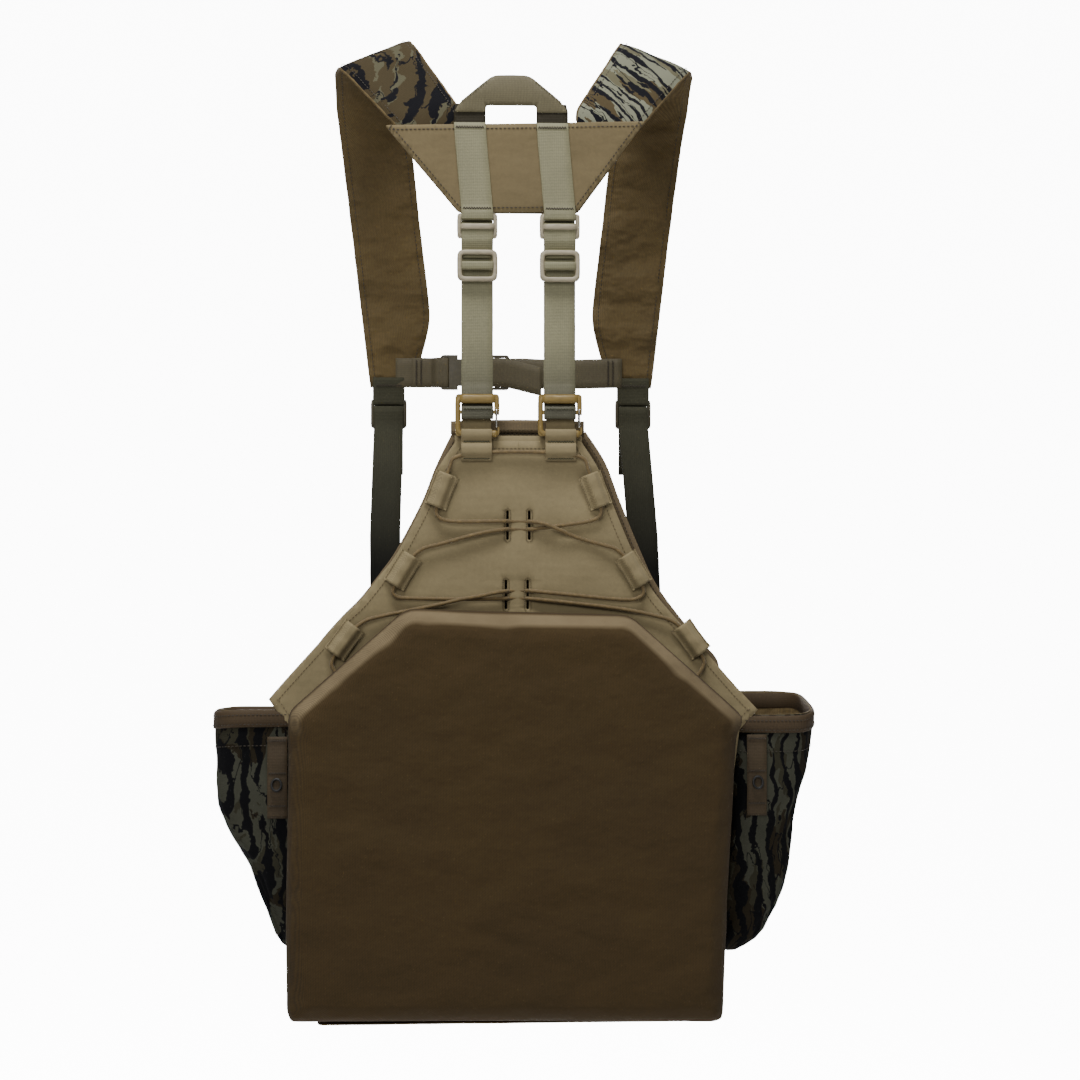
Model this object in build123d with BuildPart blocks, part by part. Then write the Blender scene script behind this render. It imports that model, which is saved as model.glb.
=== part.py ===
from build123d import *
import os

# Turkey hunting vest, hung as it is worn: a yoke with a haul handle, two padded shoulder straps,
# two adjustable back straps with gated hooks, a laced back panel over a game bag, a sternum strap,
# two hip pockets and a padded seat that folds down about its bottom hem.
# Frame: +X to the right seen from behind, +Y towards the wearer's chest, +Z up. The origin is
# where a peg carries the haul handle. Millimetres.

# ---- driving dimensions ----
webbing_width = 25.4
webbing_thick = 1.6
fabric_thick = 1.5
slip = 0.2              # room between webbing and the bar it goes round
strap_x = 33.0          # centre of each back strap

yoke_top_z = -13.0
yoke_bottom_z = -84.0
yoke_top_half = 104.8
yoke_bottom_half = 47.6
strap_seam_z = -33.0    # the shoulder straps end here, inside the yoke
yoke_pad_near = 4.0
yoke_pad_far = 9.8

handle_height = 25.0
handle_top_half = 14.0
handle_leg_end_z = -17.0
handle_near = -2.0

upper_buckle_z = -95.6
upper_buckle_size = (32.0, 20.0, 3.2)
upper_bar_z = -87.4
cross_bar_z = -96.8
bar_height = 3.6

glide_z = -127.5
glide_size = (32.0, 25.0, 3.2)
glide_y = -2.6

hook_top_z = -230.0
hook_bottom_z = -263.5
hook_width = 35.0
hook_y = -3.0
hook_thick = 4.0
inner_bar_z = -244.5
hook_bar_z = -261.5
gate_x = 15.2
gate_pivot_z = -242.5
gate_tip_z = -256.6
gate_wire = 0.75

panel_top_z = -267.0
panel_corner_z = -478.0
panel_bottom_z = -726.0
bag_depth = 20.0
panel_back_y = bag_depth + 2.0
mesh_overlap = 5.0      # how far the mesh panel stands out past the laced one
bag_half = 172.0
gusset_top_z = -482.0
gusset_wall = 2.0
top_band_z = -255.0

cord_radius = 1.6
cord_y = -2.4           # on the panel's face
cord_deep_y = 3.4       # behind the panel, between the slots
loop_cord_y = -3.2
tab_cord_y = -3.8
cord_over_y = -5.9      # where one strand crosses over the other
tunnel_z = -276.0
loop_size = (17.6, 28.0)
loop_places = [(61.6, -306.6, 21.0), (92.4, -370.4, 31.5), (138.5, -426.0, 36.5)]
slot_x = 8.7
slot_size = (5.6, 24.0)
slot_centres_z = (-334.5, -390.0)

seat_near = -41.0
seat_far = -7.0
seat_top_z = -401.0
seat_shoulder_z = -487.0
seat_bottom_z = -731.0
seat_top_half = 91.0
seat_shoulder_half = 184.0
seat_bottom_half = 174.0
cover_thick = 2.0

fold_y = 62.0           # the line over the shoulder where back and front of a strap meet
fold_x = 120.0          # middle of the strap at the fold
shoulder_slope = 0.397  # fall of the shoulder per millimetre outwards
# layer name, which side of the strap's middle surface, distance to the layer's middle, thickness
strap_layers = [
    ("shell", Side.LEFT, 2.8, 2.4),
    ("foam", Side.RIGHT, 0.4, 4.0),
    ("lining", Side.RIGHT, 3.2, 1.6),
]

lock_x = 106.0
lock_y = 149.75
lock_bar_z = -226.8
pad_end_z = -218.2

sternum_z = -202.0
sternum_y = 140.6
buckle_thick = 8.0

pocket_inner_x = 174.0
pocket_outer_x = 243.0
pocket_near = 3.0
pocket_far = 110.0
pocket_wall = 1.8

SIDES = (("left", -1), ("right", 1))

os.makedirs("parts", exist_ok=True)


# ---- helpers ----
def back_plane(y):
    """A vertical plane at depth y that faces away from the wearer, so extrusions go to -Y."""
    return Plane.XZ.offset(-y)


def plate(points, near, far):
    """A flat piece with a straight-sided outline in X and Z, between two depths."""
    with BuildPart() as piece:
        with BuildSketch(back_plane(far)):
            with BuildLine():
                Polyline(*points, close=True)
            make_face()
        extrude(amount=far - near)
    return piece.part


def ribbon(route, radius, thick, width, x_centre):
    """Webbing that follows a side-view route of (y, z) points and is extruded across X."""
    with BuildPart() as piece:
        with BuildSketch(Plane.YZ.offset(x_centre - width / 2)):
            with BuildLine() as middle:
                FilletPolyline(*route, radius=radius)
            trace(middle.line, line_width=thick)
        extrude(amount=width)
    return piece.part


def mirrored(points):
    """The points of a right-hand outline, followed by the same points on the left."""
    return points + [(-x, z) for x, z in reversed(points)]


# ---- yoke ----
def yoke_half(z):
    """Half the yoke's width at a height."""
    share = (yoke_top_z - z) / (yoke_top_z - yoke_bottom_z)
    return yoke_top_half + (yoke_bottom_half - yoke_top_half) * share


def yoke_outline(top):
    return mirrored([(yoke_half(top), top), (yoke_bottom_half, yoke_bottom_z)])


with BuildPart() as yoke_panel:
    add(plate(yoke_outline(yoke_top_z), 0, fabric_thick))
    fillet(yoke_panel.edges().filter_by(Axis.Y), radius=3)
yoke_panel.part.label = "yoke_panel"
export_step(yoke_panel.part, "parts/yoke_panel.step")

with BuildPart() as yoke_pad:
    add(plate(yoke_outline(strap_seam_z - 1), yoke_pad_near, yoke_pad_far))
yoke_pad.part.label = "yoke_pad"
export_step(yoke_pad.part, "parts/yoke_pad.step")

with BuildPart() as yoke_lining:
    add(plate(yoke_outline(strap_seam_z - 1), yoke_pad_far + 0.2, yoke_pad_far + fabric_thick))
yoke_lining.part.label = "yoke_lining"
export_step(yoke_lining.part, "parts/yoke_lining.step")

# The haul handle is one band: two upright legs, two folded corners and a level grip.
leg_outer = strap_x + webbing_width / 2
leg_inner = strap_x - webbing_width / 2
handle_outside = [(leg_outer, handle_leg_end_z), (leg_outer, -3), (handle_top_half, handle_height)]
handle_inside = [(leg_inner, handle_leg_end_z), (leg_inner, 0)]
with BuildPart() as haul_handle:
    add(plate(mirrored(handle_outside), handle_near, 0))
    with BuildSketch(back_plane(0)):
        with BuildLine():
            Polyline(*mirrored(handle_inside), close=True)
        make_face()
    extrude(amount=-handle_near, mode=Mode.SUBTRACT)
    fillet(haul_handle.edges().filter_by(Axis.Y).group_by(Axis.Z)[-1], radius=5)
haul_handle.part.label = "haul_handle"
export_step(haul_handle.part, "parts/haul_handle.step")


# ---- webbing and buckles between the yoke and the hooks ----
def wrap_reach(bar_half):
    """Distance from a bar's centre to the middle of the webbing that goes round it."""
    return bar_half + slip + webbing_thick / 2


bar_side = wrap_reach(upper_buckle_size[2] / 2)
bar_end = wrap_reach(bar_height / 2)

yoke_webbing_route = [
    (-webbing_thick / 2, handle_leg_end_z - 0.3),
    (-webbing_thick / 2, upper_bar_z + 9),
    (-bar_side, upper_bar_z + bar_end),
    (-bar_side, upper_bar_z - bar_end),
    (bar_side + 0.2, upper_bar_z - bar_end),
    (bar_side + 0.2, upper_bar_z + 17),
]
with BuildPart() as yoke_webbing:
    for name, side in SIDES:
        add(ribbon(yoke_webbing_route, 1.0, webbing_thick, webbing_width, side * strap_x))
yoke_webbing.part.label = "yoke_webbing"
export_step(yoke_webbing.part, "parts/yoke_webbing.step")


def framed_buckle(size, slots, corner):
    """A sketch of a moulded frame with slots, each slot (centre height, height)."""
    with BuildSketch() as face:
        RectangleRounded(size[0], size[1], corner)
        for height, tall in slots:
            with Locations((0, height)):
                RectangleRounded(size[0] - 6.0, tall, 0.9, mode=Mode.SUBTRACT)
    return face.sketch


upper_slots = [(3.5, 5.8), (-4.8, 3.6)]
with BuildPart() as upper_buckles:
    with BuildSketch(back_plane(upper_buckle_size[2] / 2)):
        with Locations((-strap_x, upper_buckle_z), (strap_x, upper_buckle_z)):
            add(framed_buckle(upper_buckle_size, upper_slots, 2.5))
    extrude(amount=upper_buckle_size[2])
upper_buckles.part.label = "upper_buckles"
export_step(upper_buckles.part, "parts/upper_buckles.step")

back_layer_y = 2.8
strap_back_route = [
    (-bar_side, cross_bar_z - 2.0),
    (-bar_side, cross_bar_z + bar_end),
    (back_layer_y, cross_bar_z + bar_end),
    (back_layer_y, hook_top_z + 8),
    (0.0, hook_top_z - 2),
    (0.0, inner_bar_z - wrap_reach(1.5)),
    (2 * hook_y, inner_bar_z - wrap_reach(1.5)),
    (2 * hook_y, inner_bar_z + wrap_reach(1.5) + 1.0),
]
front_layer_route = [
    (-bar_side, cross_bar_z - 2.3),
    (-bar_side, cross_bar_z - 11.5),
    (0.1, glide_z + 13),
    (0.1, glide_z + 6.8),
]
glide_slots = [(5.3, 7.2), (-5.3, 7.2)]
glide_reach_y = wrap_reach(glide_size[2] / 2)
glide_reach_z = wrap_reach(1.7)

for name, side in SIDES:
    with BuildPart() as back_strap:
        add(ribbon(strap_back_route, 1.0, webbing_thick, webbing_width, side * strap_x))
    back_strap.part.label = f"back_strap_{name}"
    export_step(back_strap.part, f"parts/back_strap_{name}.step")

    with BuildPart() as front_layer:
        add(ribbon(front_layer_route, 1.0, webbing_thick, webbing_width, side * strap_x))
    front_layer.part.label = f"adjuster_webbing_{name}"
    export_step(front_layer.part, f"parts/adjuster_webbing_{name}.step")

    with BuildPart() as triglide:
        with BuildSketch(back_plane(glide_y + glide_size[2] / 2)):
            with Locations((side * strap_x, glide_z)):
                add(framed_buckle(glide_size, glide_slots, 4.5))
        extrude(amount=glide_size[2])
        fillet(triglide.faces().sort_by(Axis.Y)[0].outer_wire().edges(), radius=0.9)
    triglide.part.label = f"triglide_{name}"
    export_step(triglide.part, f"parts/triglide_{name}.step")

    # The webbing's sewn end goes round the tri-glide's middle bar.
    with BuildPart() as glide_wrap:
        with BuildSketch(Plane.YZ.offset(side * strap_x - webbing_width / 2)):
            with Locations((glide_y, glide_z)):
                RectangleRounded(2 * glide_reach_y + webbing_thick, 2 * glide_reach_z + webbing_thick, 1.6)
                Rectangle(
                    2 * glide_reach_y - webbing_thick,
                    2 * glide_reach_z - webbing_thick,
                    mode=Mode.SUBTRACT,
                )
        extrude(amount=webbing_width)
    glide_wrap.part.label = f"glide_wrap_{name}"
    export_step(glide_wrap.part, f"parts/glide_wrap_{name}.step")


# ---- gated hooks ----
hook_middle_z = (hook_top_z + hook_bottom_z) / 2
hook_height = hook_top_z - hook_bottom_z
post_width = 3.5
for name, side in SIDES:
    centre = side * strap_x
    with BuildPart() as hook:
        with BuildSketch(back_plane(hook_y + hook_thick / 2)):
            with Locations((centre, hook_middle_z)):
                RectangleRounded(hook_width, hook_height, 3)
            with Locations((centre, (hook_top_z + inner_bar_z) / 2 - 1.5)):
                Rectangle(hook_width - 2 * post_width, hook_top_z - inner_bar_z - 6, mode=Mode.SUBTRACT)
            mouth_top = inner_bar_z - 1.5
            mouth_bottom = hook_bar_z + 2.0
            with Locations((centre, (mouth_top + mouth_bottom) / 2)):
                Rectangle(hook_width - 2 * post_width, mouth_top - mouth_bottom, mode=Mode.SUBTRACT)
            # The mouth on the right, which the gate closes, with a nose left outside it.
            with Locations((centre + hook_width / 2, (mouth_top - 0.6 + mouth_bottom + 3) / 2)):
                Rectangle(2 * post_width + 2, mouth_top - 0.6 - mouth_bottom - 3, mode=Mode.SUBTRACT)
            with Locations((centre + gate_x - 1.0, mouth_bottom + 2)):
                Rectangle(2 * gate_wire + 2.4, 4.4, mode=Mode.SUBTRACT)
        extrude(amount=hook_thick)
        with BuildSketch(back_plane(hook_y + hook_thick / 2)):
            with Locations((centre + gate_x, gate_pivot_z)):
                Circle(gate_wire + 0.08)
        extrude(amount=hook_thick, mode=Mode.SUBTRACT)
    hook.part.label = f"gated_hook_{name}"
    export_step(hook.part, f"parts/gated_hook_{name}.step")

    # One bent wire: a pivot through the post, a leg on each face and a bar across the mouth.
    leg_offset = hook_thick / 2 + gate_wire + 0.35
    gate_points = [
        (centre + gate_x, hook_y + leg_offset, gate_pivot_z),
        (centre + gate_x, hook_y - leg_offset, gate_pivot_z),
        (centre + gate_x, hook_y - leg_offset, gate_tip_z),
        (centre + gate_x, hook_y + leg_offset, gate_tip_z),
    ]
    with BuildPart() as gate:
        with BuildLine() as wire:
            FilletPolyline(*gate_points, radius=0.9)
        with BuildSketch(Plane(origin=wire.line @ 0, z_dir=wire.line % 0)):
            Circle(gate_wire)
        sweep(path=wire.line)
        with BuildSketch(Plane.XY.offset(gate_tip_z)):
            with Locations((centre + gate_x, hook_y + leg_offset)):
                Circle(gate_wire)
        extrude(amount=gate_pivot_z - gate_tip_z)
    gate.part.label = f"wire_gate_{name}"
    export_step(gate.part, f"parts/wire_gate_{name}.step")


# ---- anchor tabs, back panels and game bag ----
tab_back_y = -1.0
tab_face_y = -2.8
tab_over_y = tab_cord_y - cord_radius - 0.2 - webbing_thick / 2
hook_reach = wrap_reach(hook_thick / 2)
anchor_tab_route = [
    (tab_back_y, tunnel_z - 9),
    (tab_back_y, panel_top_z + 0.8),
    (hook_y + hook_reach, panel_top_z + 4.2),
    (hook_y + hook_reach, hook_bar_z + wrap_reach(2.0)),
    (hook_y - hook_reach, hook_bar_z + wrap_reach(2.0)),
    (hook_y - hook_reach, hook_bar_z - 3),
    (tab_face_y, panel_top_z - 1.5),
    (tab_face_y, panel_top_z - 3.5),
    (tab_over_y, tunnel_z + 2.2),
    (tab_over_y, tunnel_z - 2.6),
    (tab_face_y, tunnel_z - 6),
    (tab_face_y, tunnel_z - 9),
]
with BuildPart() as anchor_tabs:
    for name, side in SIDES:
        add(ribbon(anchor_tab_route, 0.9, webbing_thick, 24.0, side * strap_x))
anchor_tabs.part.label = "anchor_tabs"
export_step(anchor_tabs.part, "parts/anchor_tabs.step")


def panel_sketch(grow):
    """The laced panel's outline: two flaring sides, then straight sides behind the seat."""
    side_curve = [(50, panel_top_z), (66, -291), (94, -356), (125, -400), (160, -439), (196, panel_corner_z)]
    bottom_half = 172
    with BuildSketch() as face:
        with BuildLine():
            for side in (-1, 1):
                curve = [(side * (x + grow), z + grow) for x, z in side_curve]
                Spline(*curve)
                Polyline(curve[-1], (side * (184 - grow), -498), (side * bottom_half, panel_bottom_z))
            Line((-50 - grow, panel_top_z + grow), (50 + grow, panel_top_z + grow))
            Line((-bottom_half, panel_bottom_z), (bottom_half, panel_bottom_z))
        make_face()
    return face.sketch


with BuildPart() as outer_panel:
    with BuildSketch(back_plane(fabric_thick)):
        add(panel_sketch(0))
        for height in slot_centres_z:
            with Locations((-slot_x, height), (slot_x, height)):
                RectangleRounded(*slot_size, 2.5, mode=Mode.SUBTRACT)
    extrude(amount=fabric_thick)
outer_panel.part.label = "outer_back_panel"
export_step(outer_panel.part, "parts/outer_back_panel.step")

with BuildPart() as mesh_panel:
    with BuildSketch(back_plane(panel_back_y)):
        add(panel_sketch(mesh_overlap))
        with Locations((0, (panel_top_z + panel_bottom_z) / 2)):
            Rectangle(2 * bag_half, panel_top_z - panel_bottom_z + 30, mode=Mode.INTERSECT)
    extrude(amount=1.6)
mesh_panel.part.label = "mesh_back_panel"
export_step(mesh_panel.part, "parts/mesh_back_panel.step")

# The gusset is one strip round the bag's two sides and its bottom.
gusset_outer = bag_half - 0.5
gusset_inner = gusset_outer - gusset_wall
with BuildPart() as gusset:
    with BuildSketch(back_plane(bag_depth)):
        with BuildLine():
            Polyline(
                (-gusset_outer, gusset_top_z),
                (-gusset_outer, panel_bottom_z),
                (gusset_outer, panel_bottom_z),
                (gusset_outer, gusset_top_z),
                (gusset_inner, gusset_top_z),
                (gusset_inner, panel_bottom_z + gusset_wall),
                (-gusset_inner, panel_bottom_z + gusset_wall),
                (-gusset_inner, gusset_top_z),
                close=True,
            )
        make_face()
    extrude(amount=bag_depth - fabric_thick - slip)
gusset.part.label = "game_bag_gusset"
export_step(gusset.part, "parts/game_bag_gusset.step")

with BuildPart() as binding:
    with BuildSketch(back_plane(bag_depth + 0.2)):
        with Locations((0, top_band_z)):
            RectangleRounded(108, 10, 2)
    extrude(amount=1.8)
binding.part.label = "panel_top_binding"
export_step(binding.part, "parts/panel_top_binding.step")

with BuildPart() as top_webbing:
    with BuildSketch(back_plane(fabric_thick + slip + 1.9)):
        with Locations((0, tunnel_z)):
            Rectangle(104, webbing_width)
    extrude(amount=1.9)
top_webbing.part.label = "panel_top_webbing"
export_step(top_webbing.part, "parts/panel_top_webbing.step")

# ---- cord loops and lacing cord ----
with BuildPart() as cord_loops:
    for name, side in SIDES:
        for x, z, lean in loop_places:
            with BuildSketch(back_plane(-0.2)):
                with Locations(Location((side * x, z), side * lean)):
                    RectangleRounded(loop_size[0], loop_size[1], 2)
            extrude(amount=6.0)
    for name, side in SIDES:
        for x, z, lean in loop_places:
            tunnel = Plane(origin=(side * x, loop_cord_y, z)).rotated((0, -side * lean, 0))
            with BuildSketch(tunnel):
                Circle(cord_radius + 0.5)
            extrude(amount=loop_size[1], both=True, mode=Mode.SUBTRACT)
cord_loops.part.label = "cord_loops"
export_step(cord_loops.part, "parts/cord_loops.step")

# Half of the lacing, from the middle of the top run: through a loop at the edge, across through
# a pair of slots, through a loop on the other side, back, and through the third loop.
left_half = [
    (-52.0, tab_cord_y, -276.0),
    (-55.6, loop_cord_y, -291.0),
    (-68.2, loop_cord_y, -323.9),
    (-60.5, cord_y, -331.6),
    (-38.0, cord_y, -331.9),
    (-10.9, cord_y, -331.2),
    (-7.2, cord_deep_y, -331.4),
    (7.2, cord_deep_y, -331.6),
    (10.9, cord_y, -331.8),
    (20.0, cord_over_y, -333.0),
    (33.0, cord_over_y, -338.5),
    (46.0, cord_y, -344.5),
    (66.0, cord_y, -350.0),
    (82.5, loop_cord_y, -354.2),
    (102.1, loop_cord_y, -386.2),
    (97.0, cord_y, -393.6),
    (84.0, cord_y, -394.6),
    (46.0, cord_y, -390.6),
    (10.9, cord_y, -387.2),
    (7.2, cord_deep_y, -387.0),
    (-7.2, cord_deep_y, -387.2),
    (-10.9, cord_y, -387.4),
    (-20.0, cord_over_y, -388.6),
    (-33.0, cord_over_y, -391.6),
    (-46.0, cord_over_y, -393.4),
    (-62.0, cord_over_y, -397.5),
    (-84.0, cord_y, -402.0),
    (-108.0, cord_y, -406.5),
    (-128.0, loop_cord_y, -411.8),
    (-149.5, loop_cord_y, -440.9),
    (-148.0, loop_cord_y, -450.0),
    (-140.0, loop_cord_y, -459.5),
]
right_half = [
    (52.0, tab_cord_y, -276.0),
    (55.6, loop_cord_y, -291.0),
    (68.2, loop_cord_y, -323.9),
    (61.5, cord_y, -331.0),
    (40.0, cord_y, -334.0),
    (10.9, cord_y, -337.8),
    (7.2, cord_deep_y, -337.9),
    (-7.2, cord_deep_y, -337.7),
    (-10.9, cord_y, -337.6),
    (-32.0, cord_y, -341.0),
    (-62.0, cord_y, -349.6),
    (-82.5, loop_cord_y, -354.2),
    (-102.1, loop_cord_y, -386.2),
    (-97.5, cord_y, -392.4),
    (-86.0, cord_y, -392.9),
    (-50.0, cord_y, -393.6),
    (-10.9, cord_y, -393.2),
    (-7.2, cord_deep_y, -393.0),
    (7.2, cord_deep_y, -393.2),
    (10.9, cord_y, -393.4),
    (46.0, cord_y, -397.0),
    (84.0, cord_y, -401.6),
    (108.0, cord_y, -406.5),
    (128.0, loop_cord_y, -411.8),
    (149.5, loop_cord_y, -440.9),
    (148.0, loop_cord_y, -450.0),
    (140.0, loop_cord_y, -459.5),
]
cord_route = list(reversed(left_half)) + right_half


def corner_radii(route):
    """For each corner, the largest radius that its two runs leave room for."""
    radii = []
    for before, corner, after in zip(route, route[1:], route[2:]):
        run_in = Vector(corner) - Vector(before)
        run_out = Vector(after) - Vector(corner)
        turn = run_in.get_angle(run_out)
        shorter = min(run_in.length, run_out.length)
        tangent = Vector(1, 0).rotate(Axis.Z, turn / 2)
        radii.append(0.45 * shorter * tangent.X / tangent.Y)
    return radii


cord_radii = corner_radii(cord_route)
with BuildPart() as lacing_cord:
    with BuildLine() as lace:
        FilletPolyline(*cord_route, radius=cord_radii)
    with BuildSketch(Plane(origin=lace.line @ 0, z_dir=lace.line % 0)):
        Circle(cord_radius)
    sweep(path=lace.line)
lacing_cord.part.label = "lacing_cord"
export_step(lacing_cord.part, "parts/lacing_cord.step")
print("cord length", round(sum(edge.length for edge in lace.line.edges()), 1))

with BuildPart() as cord_knots:
    for name, side in SIDES:
        with BuildSketch(Plane.XY.offset(-466.0)):
            with Locations((side * 138.0, loop_cord_y)):
                Circle(2.8)
        extrude(amount=6.0)
cord_knots.part.label = "cord_knots"
export_step(cord_knots.part, "parts/cord_knots.step")

# ---- shoulder straps ----
sketch_x = 40.0
lift = (fold_x - sketch_x) * shoulder_slope
strap_route = [(5.7, -90), (5.7, -26), (fold_y, 66), (132, 26), (150, -62), (150, -250)]
strap_radii = [22, 24, 34, 90]
back_silhouette = [
    (yoke_half(strap_seam_z), strap_seam_z),
    (104, -15),
    (149, 46),
    (149, 100),
    (88, 100),
    (88, 66),
    (47, -1),
    (47, strap_seam_z),
]
pad_inner_curve = [(91, 10), (79, -80), (71, -150), (93, pad_end_z)]

with BuildPart() as strap_bounds:
    with BuildSketch(back_plane(fold_y)):
        with BuildLine():
            Polyline(*back_silhouette, close=True)
        make_face()
    extrude(amount=fold_y + 20)
    with BuildSketch(back_plane(220)):
        with BuildLine():
            Spline(*pad_inner_curve)
            Polyline(pad_inner_curve[0], (88, 100), (149, 100), (151, 15), (120.5, pad_end_z), (93, pad_end_z))
        make_face()
    extrude(amount=220 - fold_y)

for layer, surface_side, distance, thick in strap_layers:
    with BuildPart() as strap_layer:
        with BuildSketch(Plane.YZ.offset(sketch_x)):
            with BuildLine() as middle:
                FilletPolyline(*[(y, z + lift) for y, z in strap_route], radius=strap_radii)
            surface = Wire(middle.line.edges()).offset_2d(distance, side=surface_side, closed=False)
            trace(surface, line_width=thick)
        extrude(amount=140, dir=(1, 0, -shoulder_slope))
        add(strap_bounds.part, mode=Mode.INTERSECT)
    strap_layer.part.label = f"strap_{layer}_right"
    export_step(strap_layer.part, f"parts/strap_{layer}_right.step")
    with BuildPart() as left_layer:
        mirror(strap_layer.part, about=Plane.YZ)
    left_layer.part.label = f"strap_{layer}_left"
    export_step(left_layer.part, f"parts/strap_{layer}_left.step")

# ---- ladder locks and side webbings ----
lock_width = 30.0
lock_thick = 3.5
lock_bottom_z = -250.0
lock_reach = wrap_reach(lock_thick / 2) + 0.1
grip_bar_z = -237.8
pad_tab_route = [
    (lock_y - lock_reach, pad_end_z - 0.3),
    (lock_y - lock_reach, lock_bar_z - lock_reach),
    (lock_y + lock_reach, lock_bar_z - lock_reach),
    (lock_y + lock_reach, pad_end_z - 0.3),
]
with BuildPart() as pad_tabs:
    for name, side in SIDES:
        add(ribbon(pad_tab_route, 1.6, webbing_thick, 24.0, side * lock_x))
pad_tabs.part.label = "pad_tabs"
export_step(pad_tabs.part, "parts/pad_tabs.step")

lock_tail_route = [
    (lock_y - lock_reach, grip_bar_z - 1),
    (lock_y - lock_reach, grip_bar_z + lock_reach),
    (lock_y + lock_reach, grip_bar_z + lock_reach),
    (lock_y + lock_reach, -288),
]
side_webbing_route = [(144.9, -236), (144.9, -247), (26, -431), (23.1, -437), (23.1, -462)]
for name, side in SIDES:
    with BuildPart() as ladder_lock:
        with BuildSketch(back_plane(lock_y + lock_thick / 2)):
            with Locations((side * lock_x, (lock_bar_z + lock_bottom_z) / 2)):
                Rectangle(lock_width, lock_bar_z - lock_bottom_z)
            with Locations((side * lock_x, (lock_bar_z + grip_bar_z + 1.7) / 2)):
                Rectangle(lock_width - 4.6, lock_bar_z - grip_bar_z - 1.7, mode=Mode.SUBTRACT)
            with Locations((side * lock_x, (grip_bar_z - 1.7 + lock_bottom_z + 3.8) / 2)):
                Rectangle(lock_width - 4.6, grip_bar_z - 1.7 - lock_bottom_z - 3.8, mode=Mode.SUBTRACT)
        extrude(amount=lock_thick)
        fillet(ladder_lock.edges().filter_by(Axis.Y).group_by(Axis.Z)[0], radius=2.5)
        with BuildSketch(Plane.YZ.offset(side * lock_x - lock_width / 2)):
            with Locations((lock_y, lock_bar_z)):
                Circle(lock_thick / 2)
        extrude(amount=lock_width)
    ladder_lock.part.label = f"ladder_lock_{name}"
    export_step(ladder_lock.part, f"parts/ladder_lock_{name}.step")

    with BuildPart() as lock_tail:
        add(ribbon(lock_tail_route, 1.2, webbing_thick, 24.0, side * lock_x))
    lock_tail.part.label = f"lock_tail_{name}"
    export_step(lock_tail.part, f"parts/lock_tail_{name}.step")

    with BuildPart() as side_webbing:
        add(ribbon(side_webbing_route, 4.0, 1.8, webbing_width, side * lock_x))
    side_webbing.part.label = f"side_webbing_{name}"
    export_step(side_webbing.part, f"parts/side_webbing_{name}.step")


# ---- sternum strap ----
def flat_ribbon(route, radius, thick, width, z_centre):
    """Webbing that follows a plan-view route of (x, y) points and is extruded along Z."""
    with BuildPart() as piece:
        with BuildSketch(Plane.XY.offset(z_centre - width / 2)):
            with BuildLine() as middle:
                FilletPolyline(*route, radius=radius)
            trace(middle.line, line_width=thick)
        extrude(amount=width)
    return piece.part


female_left = -62.0
female_right = -28.0
male_left = -26.0
male_right = -2.0
male_thick = 6.0
sternum_webbing_y = 145.0
female_reach = wrap_reach(2.5)

with BuildPart() as sternum_female:
    with BuildSketch(back_plane(sternum_y + buckle_thick / 2)):
        with Locations(((female_left + female_right) / 2, sternum_z)):
            RectangleRounded(female_right - female_left, 30, 4)
        with Locations((female_left + 5.6, sternum_z)):
            Rectangle(4.8, 26.0, mode=Mode.SUBTRACT)
        for row in (-1, 1):
            with Locations((-41, sternum_z + row * 14)):
                Rectangle(11, 5.2, mode=Mode.SUBTRACT)
    extrude(amount=buckle_thick)
    with BuildSketch(Plane.YZ.offset(female_right)):
        with Locations((sternum_y, sternum_z)):
            Rectangle(5.2, 23.6)
    extrude(amount=-22, mode=Mode.SUBTRACT)
    # The bar that the webbing goes round is thinner than the body.
    for face_y in (sternum_y + 2.5, sternum_y - buckle_thick / 2):
        with BuildSketch(back_plane(face_y + (buckle_thick / 2 - 2.5))):
            with Locations((female_left + 1.6, sternum_z)):
                Rectangle(3.3, 26.0)
        extrude(amount=buckle_thick / 2 - 2.5, mode=Mode.SUBTRACT)
sternum_female.part.label = "sternum_female_buckle"
export_step(sternum_female.part, "parts/sternum_female_buckle.step")

with BuildPart() as sternum_male:
    with BuildSketch(back_plane(sternum_y + male_thick / 2)):
        with Locations(((male_left + male_right) / 2, sternum_z)):
            RectangleRounded(male_right - male_left, 30, 3)
        for slot_left in (-19.0, -10.0):
            with Locations((slot_left + 2.2, sternum_z)):
                Rectangle(4.4, 25.8, mode=Mode.SUBTRACT)
    extrude(amount=male_thick)
    with BuildSketch(back_plane(sternum_y + 2)):
        with Locations((male_left - 9, sternum_z)):
            Rectangle(22, 5)
    extrude(amount=4)
sternum_male.part.label = "sternum_male_buckle"
export_step(sternum_male.part, "parts/sternum_male_buckle.step")

prong_z = 8.6
for name, side in (("upper", 1), ("lower", -1)):
    with BuildPart() as prong:
        with BuildSketch(back_plane(sternum_y + 2)):
            with BuildLine():
                Polyline(
                    (male_left - 0.6, sternum_z + side * (prong_z - 2)),
                    (male_left - 0.6, sternum_z + side * (prong_z + 1.6)),
                    (-37, sternum_z + side * (prong_z + 2.2)),
                    (-41, sternum_z + side * (prong_z + 2.9)),
                    (-46.5, sternum_z + side * (prong_z + 0.6)),
                    (-46.5, sternum_z + side * (prong_z - 1)),
                    (-38, sternum_z + side * (prong_z - 1.8)),
                    close=True,
                )
            make_face()
        extrude(amount=4)
    prong.part.label = f"sternum_prong_{name}"
    export_step(prong.part, f"parts/sternum_prong_{name}.step")

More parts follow.
